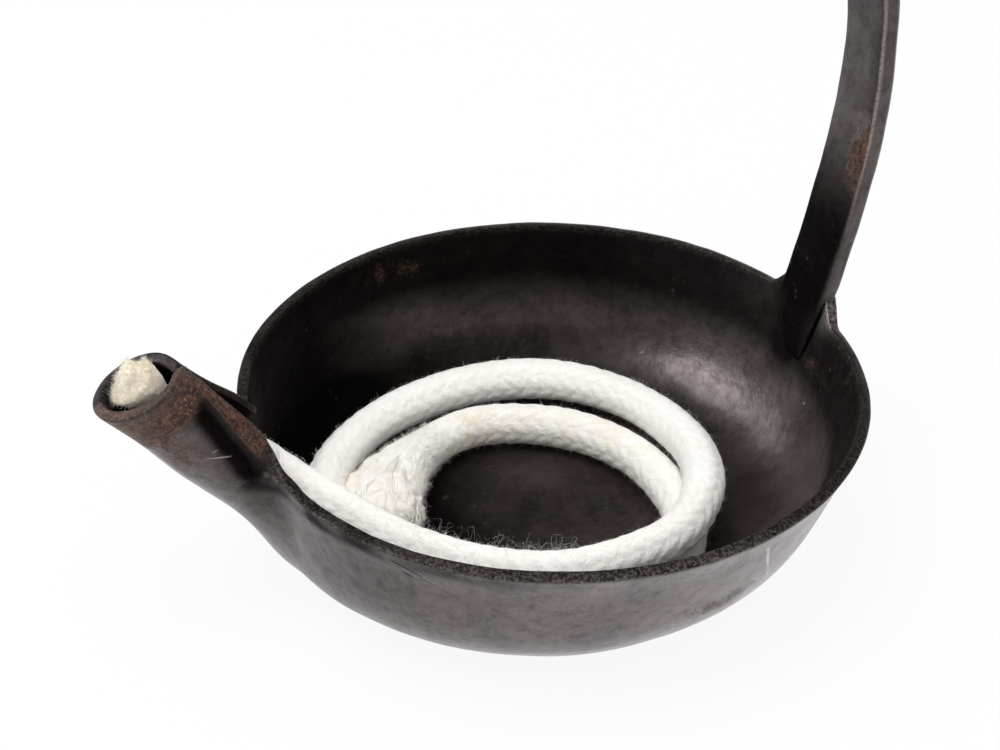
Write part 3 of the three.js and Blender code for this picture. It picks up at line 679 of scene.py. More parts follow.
def barSection(halfThick, halfWide, corner, arc=6, wide=9, narrow=3):
    # Rounded oblong per station: four quarter circles with points along the flats between
    out, side = [], []
    signs = [(1, 1), (-1, 1), (-1, -1), (1, -1)]
    for k, (so, ss) in enumerate(signs):
        angles = np.linspace(0, math.pi / 2, arc) + k * math.pi / 2
        out.append((so * (halfThick - corner))[:, None] + corner[:, None] * np.cos(angles)[None])
        side.append((ss * (halfWide - corner))[:, None] + corner[:, None] * np.sin(angles)[None])
        count = narrow if k % 2 == 1 else wide
        nextOut, nextSide = signs[(k + 1) % 4]
        t = (np.arange(1, count + 1) / (count + 1))[None]
        if k % 2 == 0:
            start = np.stack([(so * (halfThick - corner)), ss * halfWide], -1)
            stop = np.stack([(nextOut * (halfThick - corner)), nextSide * halfWide], -1)
        else:
            start = np.stack([so * halfThick, ss * (halfWide - corner)], -1)
            stop = np.stack([nextOut * halfThick, nextSide * (halfWide - corner)], -1)
        out.append(start[:, :1] * (1 - t) + stop[:, :1] * t)
        side.append(start[:, 1:] * (1 - t) + stop[:, 1:] * t)
    return np.concatenate(out, 1), np.concatenate(side, 1)


# painted shade low on the inner face, along a groove and at the foot; edges lighter by wear and painted
# highlight
armWear = dict(edgeSide=(0.86, 0.93), edgeOut=(0.5, 0.75), wearAndHighlight=0.85, bareHeights=(48, 70),
               rust=0.95, rustHeight=67, rustSpan=9, rustSide=(-1, 3.5),
               grooveShade=0.75, grooveSide=-4.3, grooveWide=1.1, grooveHeights=(60, 80),
               shadeHeights=(50, 82), leastShade=0.3, footShade=(33, 38),
               crackSide=-2.6, crackWide=0.5, crackWander=(0.9, 6, 14), crackStart=(98, 108),
               crackEnd=(142, 152))


def armMarks(points, outShare, sideShare, side):
    # Numbers for the finish at each point, from its share of half the bar's thickness and of half
    # its width: worn corners lit by a painted highlight, a rust patch, painted shade low on the inner
    # face, along a groove and at the foot, and a crack up the inner face
    w = armWear
    height = points[..., 2]
    edge = smoothStep(np.abs(sideShare), *w["edgeSide"]) * smoothStep(np.abs(outShare), *w["edgeOut"])
    inFace = smoothStep(-outShare, 0.75, 0.95)
    rust = w["rust"] * np.exp(-(((height - w["rustHeight"]) / w["rustSpan"])**2))
    rust = rust * smoothStep(-side, *w["rustSide"]) * inFace
    grooveShade = w["grooveShade"] * np.exp(-((side - w["grooveSide"]) / w["grooveWide"])**2)
    grooveShade = grooveShade * smoothStep(height, *w["grooveHeights"])
    shadeBlack = np.maximum(1 - smoothStep(height, *w["shadeHeights"]), w["leastShade"])
    # painted shade, which also dulls the iron
    dullShade = (np.maximum(shadeBlack, grooveShade) * inFace
           + (1 - inFace) * (1 - smoothStep(height, *w["footShade"])))
    fromCrack = side - w["crackSide"] - bumps(points, *w["crackWander"])
    crack = np.exp(-(fromCrack / w["crackWide"])**2) * inFace
    crack = crack * smoothStep(height, *w["crackStart"]) * falling(height, 1, *w["crackEnd"])
    wearAndHighlight = edge * w["wearAndHighlight"] * smoothStep(height, *w["bareHeights"])
    marks = {"rim": edge, "rust": np.clip(rust, 0, 1), "wearAndHighlight": wearAndHighlight, "dullShade": dullShade, "crack": crack}
    return {name: perPoint(values) for name, values in marks.items()}


def makeArm(a):
    # The bar's section carried along the stations, square to the line through their middles,
    # with hammered unevenness along it and closed ends
    line = throughPoints(armStations(a))
    runs = np.concatenate([[0], np.cumsum(np.linalg.norm(np.diff(line[:, :2], axis=0), axis=1))])
    places = np.linspace(0, runs[-1], a["stations"])
    reach, z, thick, width, skew = (np.interp(places, runs, line[:, k]) for k in range(5))
    # the bend above the ear is eased by a running mean, taken off a leaning line
    spread = int(a["footEase"] / (places[1] - places[0]))
    leaning = z * a["footLean"]
    padded = np.pad(reach - leaning, spread, mode="edge")
    mean = np.convolve(padded, np.ones(2 * spread + 1) / (2 * spread + 1), mode="valid") + leaning
    atFoot = smoothStep(places, *a["easeFrom"]) * falling(places, 1, *a["easeUntil"])
    reach = reach + (mean - reach) * atFoot
    way = unit(np.stack([np.gradient(reach), np.gradient(z)], -1))
    outwards = np.array([math.cos(bowl["handleTurn"]), math.sin(bowl["handleTurn"]), 0])
    sideways = np.array([-math.sin(bowl["handleTurn"]), math.cos(bowl["handleTurn"]), 0])
    across = way[:, 1:] * outwards + way[:, :1] * np.array([0, 0, -1.0])
    middle = reach[:, None] * outwards + z[:, None] * np.array([0, 0, 1.0]) + skew[:, None] * sideways
    free = smoothStep(places, *a["freeFrom"])
    wave = bumps(np.stack([places, 0 * places, 0 * places], -1), *a["wave"])
    width = width * (1 + free * wave)
    corner = a["corner"] * np.minimum(thick, width)
    out, side = barSection(thick / 2, width / 2, corner)
    ease = np.minimum(np.minimum(places, places[-1] - places) / a["endRound"], 1)
    rounding = np.sqrt(1 - (1 - ease)**2)[:, None]
    out, side = out * rounding, side * rounding
    points = middle[:, None] + out[..., None] * across[:, None] + side[..., None] * sideways
    # the tongue is bent round with the wall
    along = side + skew[:, None]
    hug = falling(z - bowl["height"], 1, *a["hugUntil"])[:, None]
    points -= outwards * (hug * along**2 / (2 * (bowl["rimRadius"] - bowl["sheet"])))[..., None]
    face = unit(points - middle[:, None])
    dents = bumps(points, *a["hammer"]) + bumps(points, *a["facets"])
    points += face * (dents * (0.25 + 0.75 * free[:, None]))[..., None]
    allPoints, faces = closedRings(points, middle[0], middle[-1])
    marks = armMarks(points, out / (thick / 2)[:, None], side / (width / 2)[:, None], side)
    return makeMesh("arm", allPoints, faces, marks)


wick = dict(diameter=8.0, lift=0.8, columns=8, pitch=3.9, slant=0.9, depth=0.3, wander=(0.12, 5.0, 21),
            swell=(0.16, 9.0, 22), grain=(0.05, 0.9, 23), step=0.32, sides=56, endRound=1.5,
            frayed=15.0, frayedCore=0.8, mouthTaper=0.4, taperFrom=(11, 4), blendStart=-16.0,
            blendEnd=18.0, inSpout=(-9.5, -5.5, -1.5, 3.0, 8.0, 13.0, 18.0, 24.0),
            stain=(33, 8), paleStain=(62, 16, 0.35), mouthStain=0.8, mouthStainFrom=14)
# the rope's middle line from its frayed end round the bowl to the spout
wickRoute = [
    [-30.2, 0.4, 6.8], [-28.4, 7.5, 6.8], [-24.2, 15.6, 6.8], [-17.0, 22.7, 6.8], [-6.5, 26.4, 6.8],
    [4.5, 23.8, 6.8], [13.5, 17.6, 6.8], [19.8, 8.4, 6.8], [22.6, -2.5, 6.8], [22.4, -13.5, 6.8],
    [18.8, -23.6, 6.9], [11.0, -31.3, 7.1], [0.5, -35.2, 7.3], [-11.0, -35.2, 7.4],
    [-22.0, -31.5, 7.4], [-31.5, -24.0, 7.4], [-38.6, -14.0, 7.6], [-42.4, -2.5, 7.8],
    [-42.6, 9.0, 7.9], [-39.0, 19.0, 7.7], [-31.4, 28.0, 7.5], [-20.8, 34.8, 7.6], [-9.0, 38.2, 7.9],
    [2.0, 38.4, 8.3], [12.0, 34.8, 9.0], [20.5, 27.6, 9.6], [26.3, 16.8, 10.8], [28.9, 2.6, 12.3],
    [27.7, -8.4, 14.0], [24.2, -18.3, 15.5], [18.2, -26.8, 16.0], [10.4, -32.2, 16.2],
    [-1.0, -35.0, 16.2], [-11.4, -35.2, 16.4], [-21.6, -31.8, 16.9], [-30.4, -26.2, 17.8],
    [-37.8, -19.6, 19.0], [-44.6, -11.6, 20.8], [-50.8, -4.0, 22.8],
]


def wickPoint(along):
    # The rope's middle in the spout: the spout's axis, lifted
    return spoutRoot + spoutAxis * along - spoutDown * wick["lift"]


wickLine = throughPoints(np.vstack([wickRoute, [wickPoint(v) for v in wick["inSpout"]]]), 0)
wickLength = lineLength(wickLine)


def wickFrame(places):
    # Middle, way, sideways and upwards at lengths along the rope
    middle = alongLine(wickLine, places)
    way = unit(alongLine(wickLine, places + 0.5) - alongLine(wickLine, places - 0.5))
    sideways = unit(np.cross(np.array([0, 0, 1.0]), way))
    return middle, way, sideways, np.cross(way, sideways)


def aroundRope(places, turns, reach):
    # Points for noise that runs along the rope and closes round it
    return np.stack([places, reach * np.cos(turns), reach * np.sin(turns)], -1)


def braidHeight(places, turns):
    # Rope surface over its middle: columns of stitches run along the rope, slanting one way
    # and the other in turn, each stitch rounded along and across; plus slow swelling
    w = wick
    column = turns / (2 * math.pi) * w["columns"]
    index = np.floor(column)
    inColumn = column - index - 0.5
    lean = np.where(index % 2 == 0, 1.0, -1.0)
    stitch = places / w["pitch"] + lean * inColumn * w["slant"] + 0.5 * (index % 2)
    stitch = stitch + bumps(aroundRope(places, turns, 3), *w["wander"])
    inStitch = stitch - np.floor(stitch) - 0.5
    rounded = (np.sqrt(np.clip(1 - (2 * inStitch)**2 * 0.92, 0, 1))
               * np.sqrt(np.clip(1 - (2 * inColumn)**2 * 0.75, 0, 1)))
    slow = bumps(aroundRope(places, turns, 2.5), *w["swell"])
    fine = bumps(aroundRope(places, turns, 4), *w["grain"])
    return w["diameter"] / 2 - w["depth"] * (1 - rounded) + w["depth"] * 0.35 + slow + fine


def ropeSurface(places, turns):
    # Points at the braid's height over the middle line, and the way out of it
    middle, _, sideways, upwards = wickFrame(places)
    height = braidHeight(places[..., None] + 0 * turns, turns + 0 * places[..., None])
    ring = np.cos(turns)[..., None] * sideways[:, None] + np.sin(turns)[..., None] * upwards[:, None]
    return middle[:, None] + ring * height[..., None], ring


def addUv(piece, uv):
    # one UV per point, given to each corner
    layer = piece.data.uv_layers.new(name="lay")
    corners = np.empty(len(piece.data.loops), np.int32)
    piece.data.loops.foreach_get("vertex_index", corners)
    layer.data.foreach_set("uv", np.asarray(uv, np.float32)[corners].reshape(-1))


def makeWick(w):
    # The braided surface along the whole line, narrowed inside its frayed end and in the mouth,
    # and rounded off at both ends
    rows, count = int(wickLength / w["step"]), w["sides"]
    places = np.linspace(0, wickLength, rows)
    turns = np.linspace(0, 2 * math.pi, count + 1)[:-1][None, :]
    points = ropeSurface(places, np.repeat(turns, rows, 0))[0]
    ease = np.minimum(np.minimum(places, wickLength - places) / w["endRound"], 1)
    core = w["frayedCore"] + rising(places, 1 - w["frayedCore"], w["frayed"] * 0.45, w["frayed"])
    core = core * (1 - rising(places, w["mouthTaper"], *(wickLength - v for v in w["taperFrom"])))
    middle = alongLine(wickLine, places)
    narrowed = (core * np.sqrt(1 - 0.75 * (1 - ease)**2))[:, None, None]
    points = middle[:, None] + (points - middle[:, None]) * narrowed
    allPoints, faces = closedRings(points, middle[0], middle[-1], flip=True)
    # painted shade: how deep each point lies between the stitches
    hollowShade = (w["diameter"] / 2 - np.linalg.norm(points - middle[:, None], axis=-1)) / w["depth"]
    place, span = w["stain"]
    palePlace, paleSpan, pale = w["paleStain"]
    stain = (np.exp(-((places - place) / span)**2)[:, None] * smoothStep(-np.cos(turns), -0.5, 0.6)
             + pale * np.exp(-((places - palePlace) / paleSpan)**2)[:, None])
    atMouth = rising(places, w["mouthStain"], wickLength - w["mouthStainFrom"], wickLength)[:, None]
    marks = {"hollowShade": perPoint(np.clip(hollowShade, 0, 1)), "stain": perPoint(stain + atMouth)}
    piece = makeMesh("wick_rope", allPoints, faces, marks)
    uv = np.stack([np.repeat(places, count), np.tile(turns[0] * w["diameter"] / 2, rows)], -1)
    addUv(piece, np.vstack([[0, 0], uv, [wickLength, 0]]) / 10)
    return piece


def hairPoints(roots, ways, lengths, radius, curl, rings, random):
    # Thin three-sided threads: each follows its way and drifts aside by curl times the square
    # of the distance along it, with a wave, and narrows to its tip
    n = len(roots)
    t = np.linspace(0, 1, rings)[None, :, None]
    drift = unit(np.cross(ways, random.normal(size=(n, 3))))
    other = np.cross(ways, drift)
    length = lengths[:, None, None]
    phase = random.uniform(0, 6.28, (n, 1, 1))
    waves = random.uniform(0.5, 1.6, (n, 1, 1))
    line = (roots[:, None] + ways[:, None] * length * t + drift[:, None] * length * curl * t**2
            + other[:, None] * length * curl * 0.4 * (np.sin(phase + waves * 6.28 * t) - np.sin(phase)))
    angles = (np.arange(3) * 2 * math.pi / 3)[None, :, None]
    ring = drift[:, None] * np.cos(angles) + other[:, None] * np.sin(angles)
    thin = radius * (1 - 0.75 * t[..., None])
    return line[:, :, None] + ring[:, None] * thin


def hairMesh(name, points):
    # points [thread, ring, side]; tips and roots closed by one face each
    n, rings, sides = points.shape[:3]
    base = (np.arange(n) * rings * sides)[:, None, None]
    ring, side = np.arange(rings - 1)[None, :, None] * sides, np.arange(sides)[None, None, :]
    here, beside = base + ring + side, base + ring + (side + 1) % sides
    quads = np.stack([here, beside, beside + sides, here + sides], -1).reshape(-1, 4)
    root = (base[:, 0] + np.arange(sides)[::-1][None]).reshape(-1, sides)
    tip = (base[:, 0] + (rings - 1) * sides + np.arange(sides)[None]).reshape(-1, sides)
    return makeMesh(name, points.reshape(-1, 3), [quads, root, tip])


# stretches are lengths back from the rope's end in the spout; scatter is along and all round
fuzz = dict(short=13000, shortLength=(0.35, 0.95), long=420, longLength=(1.0, 1.9), radius=0.026,
            curl=0.6, rings=3, scatter=(0.9, 0.35), rooted=0.15, startGap=2, endGap=22,
            strays=260, strayLength=(0.8, 2.3), strayRadius=0.026, strayCurl=1.6, strayRings=10,
            strayScatter=(1.0, 0.3), strayTurns=(0.15 * math.pi, 0.8 * math.pi),
            strayStretch=(96, 62), spoutStrays=12, spoutStretch=(52, 34))


def makeFuzz(f):
    # Fine cotton fibres that stand off the rope, rooted in its surface and leaning at random
    random = np.random.default_rng(11)
    count = f["short"] + f["long"]
    places = random.uniform(f["startGap"], wickLength - f["endGap"], count)
    turns = random.uniform(0, 2 * math.pi, count)
    points, ring = (v[:, 0] for v in ropeSurface(places, turns[:, None]))
    way = wickFrame(places)[1]
    along, around = f["scatter"]
    ways = unit(ring + way * random.normal(0, along, (count, 1)) + random.normal(0, around, (count, 3)))
    lengths = np.concatenate([random.uniform(*f["shortLength"], f["short"]),
                              random.uniform(*f["longLength"], f["long"])])
    roots = points - ring * f["rooted"]
    hairs = hairPoints(roots, ways, lengths, f["radius"], f["curl"], f["rings"], random)
    return hairMesh("wick_fuzz", hairs)


def makeStrays(f):
    # Longer curled fibres where the rope is chafed: along the near wall, and where it enters
    # the spout
    random = np.random.default_rng(12)
    near = random.uniform(*(wickLength - v for v in f["strayStretch"]), f["strays"])
    spoutEnd = random.uniform(*(wickLength - v for v in f["spoutStretch"]), f["spoutStrays"])
    places = np.concatenate([near, spoutEnd])
    count = len(places)
    turns = random.uniform(*f["strayTurns"], count)
    points, ring = (v[:, 0] for v in ropeSurface(places, turns[:, None]))
    way = wickFrame(places)[1]
    along, around = f["strayScatter"]
    ways = unit(ring * 0.5 + way * random.normal(0, along, (count, 1))
                + random.normal(0, around, (count, 3)) + np.array([0, 0.3, 0.0]))
    lengths = random.uniform(*f["strayLength"], count)
    roots = points - ring * f["rooted"]
    hairs = hairPoints(roots, ways, lengths, f["strayRadius"], f["strayCurl"], f["strayRings"], random)
    return hairMesh("wick_strays", hairs)


tuft = dict(yarns=260, rings=13, sides=4, radius=0.1, start=20.0, startScatter=5, finish=(-1.6, 2.6),
            girth=3.3, spread=4.3, leftSpread=13.5, spreadScatter=(0.75, 1.1), height=4.9, droop=1.6,
            waves=1.0, waveTurns=(3, 8), floor=2.9, floorScatter=1.6, grain=(0.25, 1.1, 31),
            hairs=6500, hairsFrom=50, hairLength=(0.4, 1.3), hairRadius=0.028, hairScatter=0.8,
            hairCurl=0.9, hairRings=4)
tuftBody = dict(rows=150, sides=96, start=44.0, finish=-1.5, core=3.9, left=12.6, right=4.4, high=4.8,
                opening=(0.33, 0.84), closing=(0.86, 1.0), ridges=0.5, ridgeSize=0.9,
                lumps=0.8, lumpBumps=[(1.0, 2.6, 52), (0.5, 1.1, 53)], droop=1.2, floor=2.6, stain=0.25)


def makeTuft(t, b):
    # The rope's frayed end: yarns leave the braid, follow the rope's own line and part from it
    # by a girth that grows with the way along, droop, and lie on the bowl's floor; and the
    # matted cotton under them with its own short fibres
    random = np.random.default_rng(13)
    n, rings = t["yarns"], t["rings"]
    s = np.linspace(0, 1, rings)[None, :]
    begin = t["start"] - random.uniform(0, t["startScatter"], (n, 1))
    finish = random.uniform(*t["finish"], (n, 1))
    places = begin + (finish - begin) * s
    onRope = np.maximum(places, 0.05)
    middle, way, sideways, upwards = (v.reshape(n, rings, 3) for v in wickFrame(onRope.reshape(-1)))
    middle = middle - way * (onRope - places)[..., None]
    share = np.sqrt(random.uniform(0.02, 1, (n, 1)))
    angle = random.uniform(0, 2 * math.pi, (n, 1)) + random.normal(0, 0.35, (n, 1)) * s
    toLeft = 0.5 + 0.5 * np.cos(angle)
    leftward = t["leftSpread"] * toLeft + t["spread"] * (1 - toLeft)
    spread = np.where(np.cos(angle) > 0, leftward, t["spread"])
    spread = spread * random.uniform(*t["spreadScatter"], (n, 1))
    girth = share * (t["girth"] + (spread - t["girth"]) * s**0.8)
    phase = random.uniform(0, 6.28, (n, 1))
    wave = t["waves"] * np.sin(phase + s * random.uniform(*t["waveTurns"], (n, 1))) * s
    height = np.minimum(girth, t["height"] * share + 0.6) * np.sin(angle) + wave
    line = middle + sideways * ((girth + wave) * np.cos(angle))[..., None] + upwards * height[..., None]
    line[..., 2] -= t["droop"] * s**2
    line[..., 2] = np.maximum(line[..., 2], t["floor"] + random.uniform(0, t["floorScatter"], (n, 1)))
    along = unit(np.gradient(line, axis=1))
    drift = unit(np.cross(along, np.array([0.3, 0.2, 1.0])))[:, :, None]
    other = np.cross(along, drift[:, :, 0])[:, :, None]
    angles = (np.arange(t["sides"]) * 2 * math.pi / t["sides"])[None, None, :, None]
    ring = drift * np.cos(angles) + other * np.sin(angles)
    size = t["radius"] * random.uniform(0.7, 1.3, (n, 1)) * np.sqrt(np.clip(1 - s**12, 0.2, 1))
    size = size * (0.7 + rising(s, 0.3, 0, 0.2)) * (1 + bumps(line, *t["grain"]))
    yarns = line[:, :, None] + ring * size[..., None, None]
    body, onBody, outOfBody = makeTuftBody(b)
    count = t["hairs"]
    rows, sides = onBody.shape[:2]
    picked = random.integers(t["hairsFrom"], rows, count), random.integers(0, sides, count)
    ways = unit(outOfBody[picked] + random.normal(0, t["hairScatter"], (count, 3)))
    lengths = random.uniform(*t["hairLength"], count)
    roots = onBody[picked] - 0.2 * ways
    ends = hairPoints(roots, ways, lengths, t["hairRadius"], t["hairCurl"], t["hairRings"], random)
    return hairMesh("wick_frayed_end", yarns), hairMesh("wick_frayed_fluff", ends), body


def makeTuftBody(b):
    # The matted cotton under the loose yarns: flattened rings along the rope's first stretch
    # that widen to the left, with ridges along it and lumps from noise, closed at both ends
    share = np.linspace(0, 1, b["rows"])
    places = b["start"] + (b["finish"] - b["start"]) * share
    onRope = np.maximum(places, 0.05)
    middle, way, sideways, upwards = wickFrame(onRope)
    middle = middle - way * (onRope - places)[:, None]
    turns = np.linspace(0, 2 * math.pi, b["sides"] + 1)[:-1][None]
    opened = smoothStep(share, *b["opening"])[:, None]
    reaches = (b["left"], b["right"], b["high"])
    left, right, high = (b["core"] + (reach - b["core"]) * opened for reach in reaches)
    closing = np.clip(1 - 0.98 * smoothStep(share, *b["closing"])**2, 0, 1)
    closing = np.sqrt(closing * smoothStep(share, -0.12, 0.06))[:, None]
    aside = np.where(np.cos(turns) > 0, left, right) * np.cos(turns) * closing
    above = high * np.sin(turns) * closing
    points = (middle[:, None] + sideways[:, None] * aside[..., None]
              + upwards[:, None] * above[..., None])
    ringway = unit(points - middle[:, None])
    everywhere = 0 * points[..., 0]
    ridgePlaces = aroundRope(places[:, None] / 3 + everywhere, turns + everywhere, 4.5)
    ridges = latticeNoise(ridgePlaces, b["ridgeSize"], 51)
    lumps = sum(bumps(points, *v) for v in b["lumpBumps"])
    points = points + ringway * (b["ridges"] * ridges * opened + b["lumps"] * lumps * opened)[..., None]
    points[..., 2] = np.maximum(points[..., 2] - b["droop"] * opened**2, b["floor"])
    allPoints, faces = closedRings(points, points[0].mean(0), points[-1].mean(0))
    # painted shade in the hollows between ridges and lumps
    hollowShade = np.clip(0.25 - 0.5 * ridges - 0.3 * lumps, 0, 1)
    marks = {"hollowShade": perPoint(hollowShade), "stain": perPoint(b["stain"] * opened + everywhere)}
    return makeMesh("wick_frayed_body", allPoints, faces, marks), points, ringway


# outline pairs are (turn, radius), peaks are (turn, height, width)
mouth = dict(rows=70, sides=84, start=12.0, bulge=0.7, rise=0.8, slantShare=0.4, foot=0.55, side=0.45,
             lumps=0.6, lumpBumps=[(1.0, 2.9, 41), (0.4, 1.3, 42), (0.2, 0.6, 43)],
             hairs=2600, hairsFrom=0.42, hairLength=(0.35, 1.1), hairRadius=0.034,
             hairScatter=0.8, hairCurl=0.7, hairRings=4,
             outline=[(0.8, 5.3), (1.8, 5.7), (2.15, 4.5), (2.65, 5.3), (3.2, 4.4), (3.75, 4.0),
                      (4.8, 4.2), (5.83, 4.4)],
             peaks=[(1.85, 0.8, 0.3), (2.7, 1.1, 0.3)])


def makeMouthTuft(m):
    # Packed cotton in the mouth: rings about the spout's line that follow an outline and narrow
    # inwards, with a domed top lumped by noise, closed at both ends
    random = np.random.default_rng(14)
    share = np.linspace(0, 1, m["rows"])[:, None]
    turns = np.linspace(0, 2 * math.pi, m["sides"] + 1)[:-1][None]
    onTop = np.clip((share - m["side"]) / (1 - m["side"]), 0, 1)
    widening = m["foot"] + (1 - m["foot"]) * smoothStep(share, 0.15, m["side"])
    profile = np.where(share < m["side"], widening, np.cos(onTop * math.pi / 2)**0.75)
    outlineTurns, outlineRadii = np.array(m["outline"]).T
    girth = profile * np.interp(turns, outlineTurns, outlineRadii, period=2 * math.pi)
    slant = m["slantShare"] * spout["mouthSlant"] * np.cos(turns) * girth / spout["radius"]
    top = spout["reach"] + m["rise"] + slant + m["bulge"] * np.sqrt(onTop)
    for place, height, wide in m["peaks"]:
        top = top + height * np.exp(-((turns - place) / wide)**2) * falling(onTop, 1, 0.2, 0.85)
    along = m["start"] + (top - m["start"]) * np.clip(share / m["side"], 0, 1)
    ringway = spoutDown * np.cos(turns)[..., None] + spoutSide * np.sin(turns)[..., None]
    points = spoutRoot + spoutAxis * along[..., None] + ringway * girth[..., None]
    lump = sum(bumps(points, *v) for v in m["lumpBumps"])
    lifted = smoothStep(share, 0.4, 0.6) * lump * m["lumps"]
    points = (points + spoutAxis * lifted[..., None] * 1.3
              + ringway * (0.35 * m["lumps"] * lump * profile)[..., None])
    allPoints, faces = closedRings(points, spoutRoot + spoutAxis * m["start"], points[-1].mean(0))
    # painted shade in the hollows between lumps
    hollowShade = np.clip(0.45 - 0.7 * lump, 0, 1)
    marks = {"hollowShade": perPoint(hollowShade), "stain": perPoint(1.0 + 0 * hollowShade)}
    piece = makeMesh("wick_mouth", allPoints, faces, marks)
    total, count = m["rows"] * m["sides"], m["hairs"]
    picked = points.reshape(-1, 3)[random.integers(int(total * m["hairsFrom"]), total, count)]
    ways = unit(spoutAxis + random.normal(0, m["hairScatter"], (count, 3)))
    lengths = random.uniform(*m["hairLength"], count)
    roots = picked - ways * 0.1
    hairs = hairPoints(roots, ways, lengths, m["hairRadius"], m["hairCurl"], m["hairRings"], random)
    return piece, hairMesh("wick_mouth_fluff", hairs)


class NodeTree:
    # Short words for adding shader nodes to one tree
    def __init__(self, tree):
        self.tree = tree
        self.tree.nodes.clear()

    def add(self, kind, **settings):
        node = self.tree.nodes.new(kind)
        for key, value in settings.items():
            setattr(node, key, value)
        return node

    def link(self, source, target):
        # a number or a colour is set on the socket, anything else is linked to it
        if isinstance(source, (int, float)):
            target.default_value = source
        elif isinstance(source, tuple):
            whole = len(source) == 4 or target.type == "VECTOR"
            target.default_value = source if whole else (*source, 1)
        else:
            self.tree.links.new(source, target)

    def mark(self, name):
        return self.add("ShaderNodeAttribute", attribute_name=name).outputs["Fac"]

    def objectPlace(self):
        return self.add("ShaderNodeTexCoord").outputs["Object"]

    def noise(self, vector, scale, detail=3.0, roughness=0.55, distortion=0.0):
        node = self.add("ShaderNodeTexNoise")
        self.link(vector, node.inputs["Vector"])
        node.inputs["Scale"].default_value = scale
        node.inputs["Detail"].default_value = detail
        node.inputs["Roughness"].default_value = roughness
        node.inputs["Distortion"].default_value = distortion
        return node.outputs["Fac"]

    def cells(self, vector, scale):
        node = self.add("ShaderNodeTexVoronoi")
        self.link(vector, node.inputs["Vector"])
        node.inputs["Scale"].default_value = scale
        return node.outputs["Distance"]

    def math(self, operation, a, b=0.5, clamp=False):
        node = self.add("ShaderNodeMath", operation=operation, use_clamp=clamp)
        self.link(a, node.inputs[0])
        self.link(b, node.inputs[1])
        return node.outputs[0]

    def product(self, a, b):
        return self.math("MULTIPLY", a, b)

    def less(self, value, share):
        # value times 1 - share
        return self.product(value, self.math("SUBTRACT", 1.0, share))

    def vector(self, operation, a, b=None):
        node = self.add("ShaderNodeVectorMath", operation=operation)
        self.link(a, node.inputs[0])
        if b is not None:
            self.link(b, node.inputs[1])
        return node.outputs["Value" if operation in ("DOT_PRODUCT", "LENGTH") else "Vector"]

    def span(self, value, low, high, outLow=0.0, outHigh=1.0):
        # value from low to high becomes outLow to outHigh, eased and held outside
        node = self.add("ShaderNodeMapRange", interpolation_type="SMOOTHSTEP")
        keys = ("Value", "From Min", "From Max", "To Min", "To Max")
        for key, source in zip(keys, (value, low, high, outLow, outHigh)):
            self.link(source, node.inputs[key])
        return node.outputs["Result"]

    def blend(self, share, a, b):
        # colour a where share is 0, colour b where it is 1
        node = self.add("ShaderNodeMix", data_type="RGBA")
        self.link(share, node.inputs["Factor"])
        self.link(a, node.inputs[6])
        self.link(b, node.inputs[7])
        return node.outputs[2]

    def bump(self, height, distance, strength=1.0, normal=None):
        node = self.add("ShaderNodeBump")
        node.inputs["Strength"].default_value = strength
        node.inputs["Distance"].default_value = distance
        self.link(height, node.inputs["Height"])
        if normal is not None:
            self.link(normal, node.inputs["Normal"])
        return node.outputs["Normal"]


def sharedGroup(name, inputs, outputs, build):
    # A node group with the named inputs and outputs, filled by build(tree, inputs)
    group = bpy.data.node_groups.new(name, "ShaderNodeTree")
    for key, kind in inputs.items():
        group.interface.new_socket(key, in_out="INPUT", socket_type=kind)
    for key, kind in outputs.items():
        group.interface.new_socket(key, in_out="OUTPUT", socket_type=kind)
    t = NodeTree(group)
    entry, leave = t.add("NodeGroupInput"), t.add("NodeGroupOutput")
    results = build(t, entry.outputs)
    for key, value in results.items():
        t.link(value, leave.inputs[key])
    return group


rustTints = dict(dark=(0.036, 0.020, 0.016), light=(0.165, 0.080, 0.052), grain=(0.32, 0.24, 0.19))


def rustBuild(t, given):
    # fine grains inside soft-edged patches, where the incoming amount is high
    place = t.objectPlace()
    patches = t.noise(place, 210, 4, 0.6, 0.5)
    grains = t.noise(place, 1500, 5, 0.85)
    total = t.math("ADD", t.product(patches, 0.8), t.product(grains, 0.75))
    level = t.math("SUBTRACT", 1.2, t.product(given["Amount"], 0.78))
    mask = t.span(t.math("SUBTRACT", total, level), -0.12, 0.26)
    mask = t.product(mask, t.span(given["Amount"], 0.02, 0.2))
    tint = t.span(t.noise(place, 900, 5, 0.75), 0.38, 0.68)
    tint = t.blend(tint, rustTints["dark"], rustTints["light"])
    lightGrains = t.span(t.noise(place, 2100, 3, 0.7), 0.57, 0.69)
    return {"Mask": mask, "Colour": t.blend(t.product(lightGrains, 0.7), tint, rustTints["grain"])}


def lineBuild(t, given):
    # 1 on the straight line from Start to End, 0 further than Width from it; noise breaks it by Breaks
    place = t.objectPlace()
    fromStart = t.vector("SUBTRACT", place, given["Start"])
    whole = t.vector("SUBTRACT", given["End"], given["Start"])
    onWhole = t.vector("DOT_PRODUCT", fromStart, whole)
    share = t.math("DIVIDE", onWhole, t.vector("DOT_PRODUCT", whole, whole), True)
    nearest = t.add("ShaderNodeVectorMath", operation="SCALE")
    t.link(whole, nearest.inputs[0])
    t.link(share, nearest.inputs["Scale"])
    away = t.vector("LENGTH", t.vector("SUBTRACT", fromStart, nearest.outputs[0]))
    close = t.math("SUBTRACT", 1.0, t.math("DIVIDE", away, given["Width"]), True)
    ends = t.product(t.span(share, 0.0, 0.25), t.span(share, 1.0, 0.7))
    broken = t.product(given["Breaks"], t.span(t.noise(place, 800, 2), 0.55, 0.3))
    return {"Mask": t.less(t.product(close, ends), broken)}


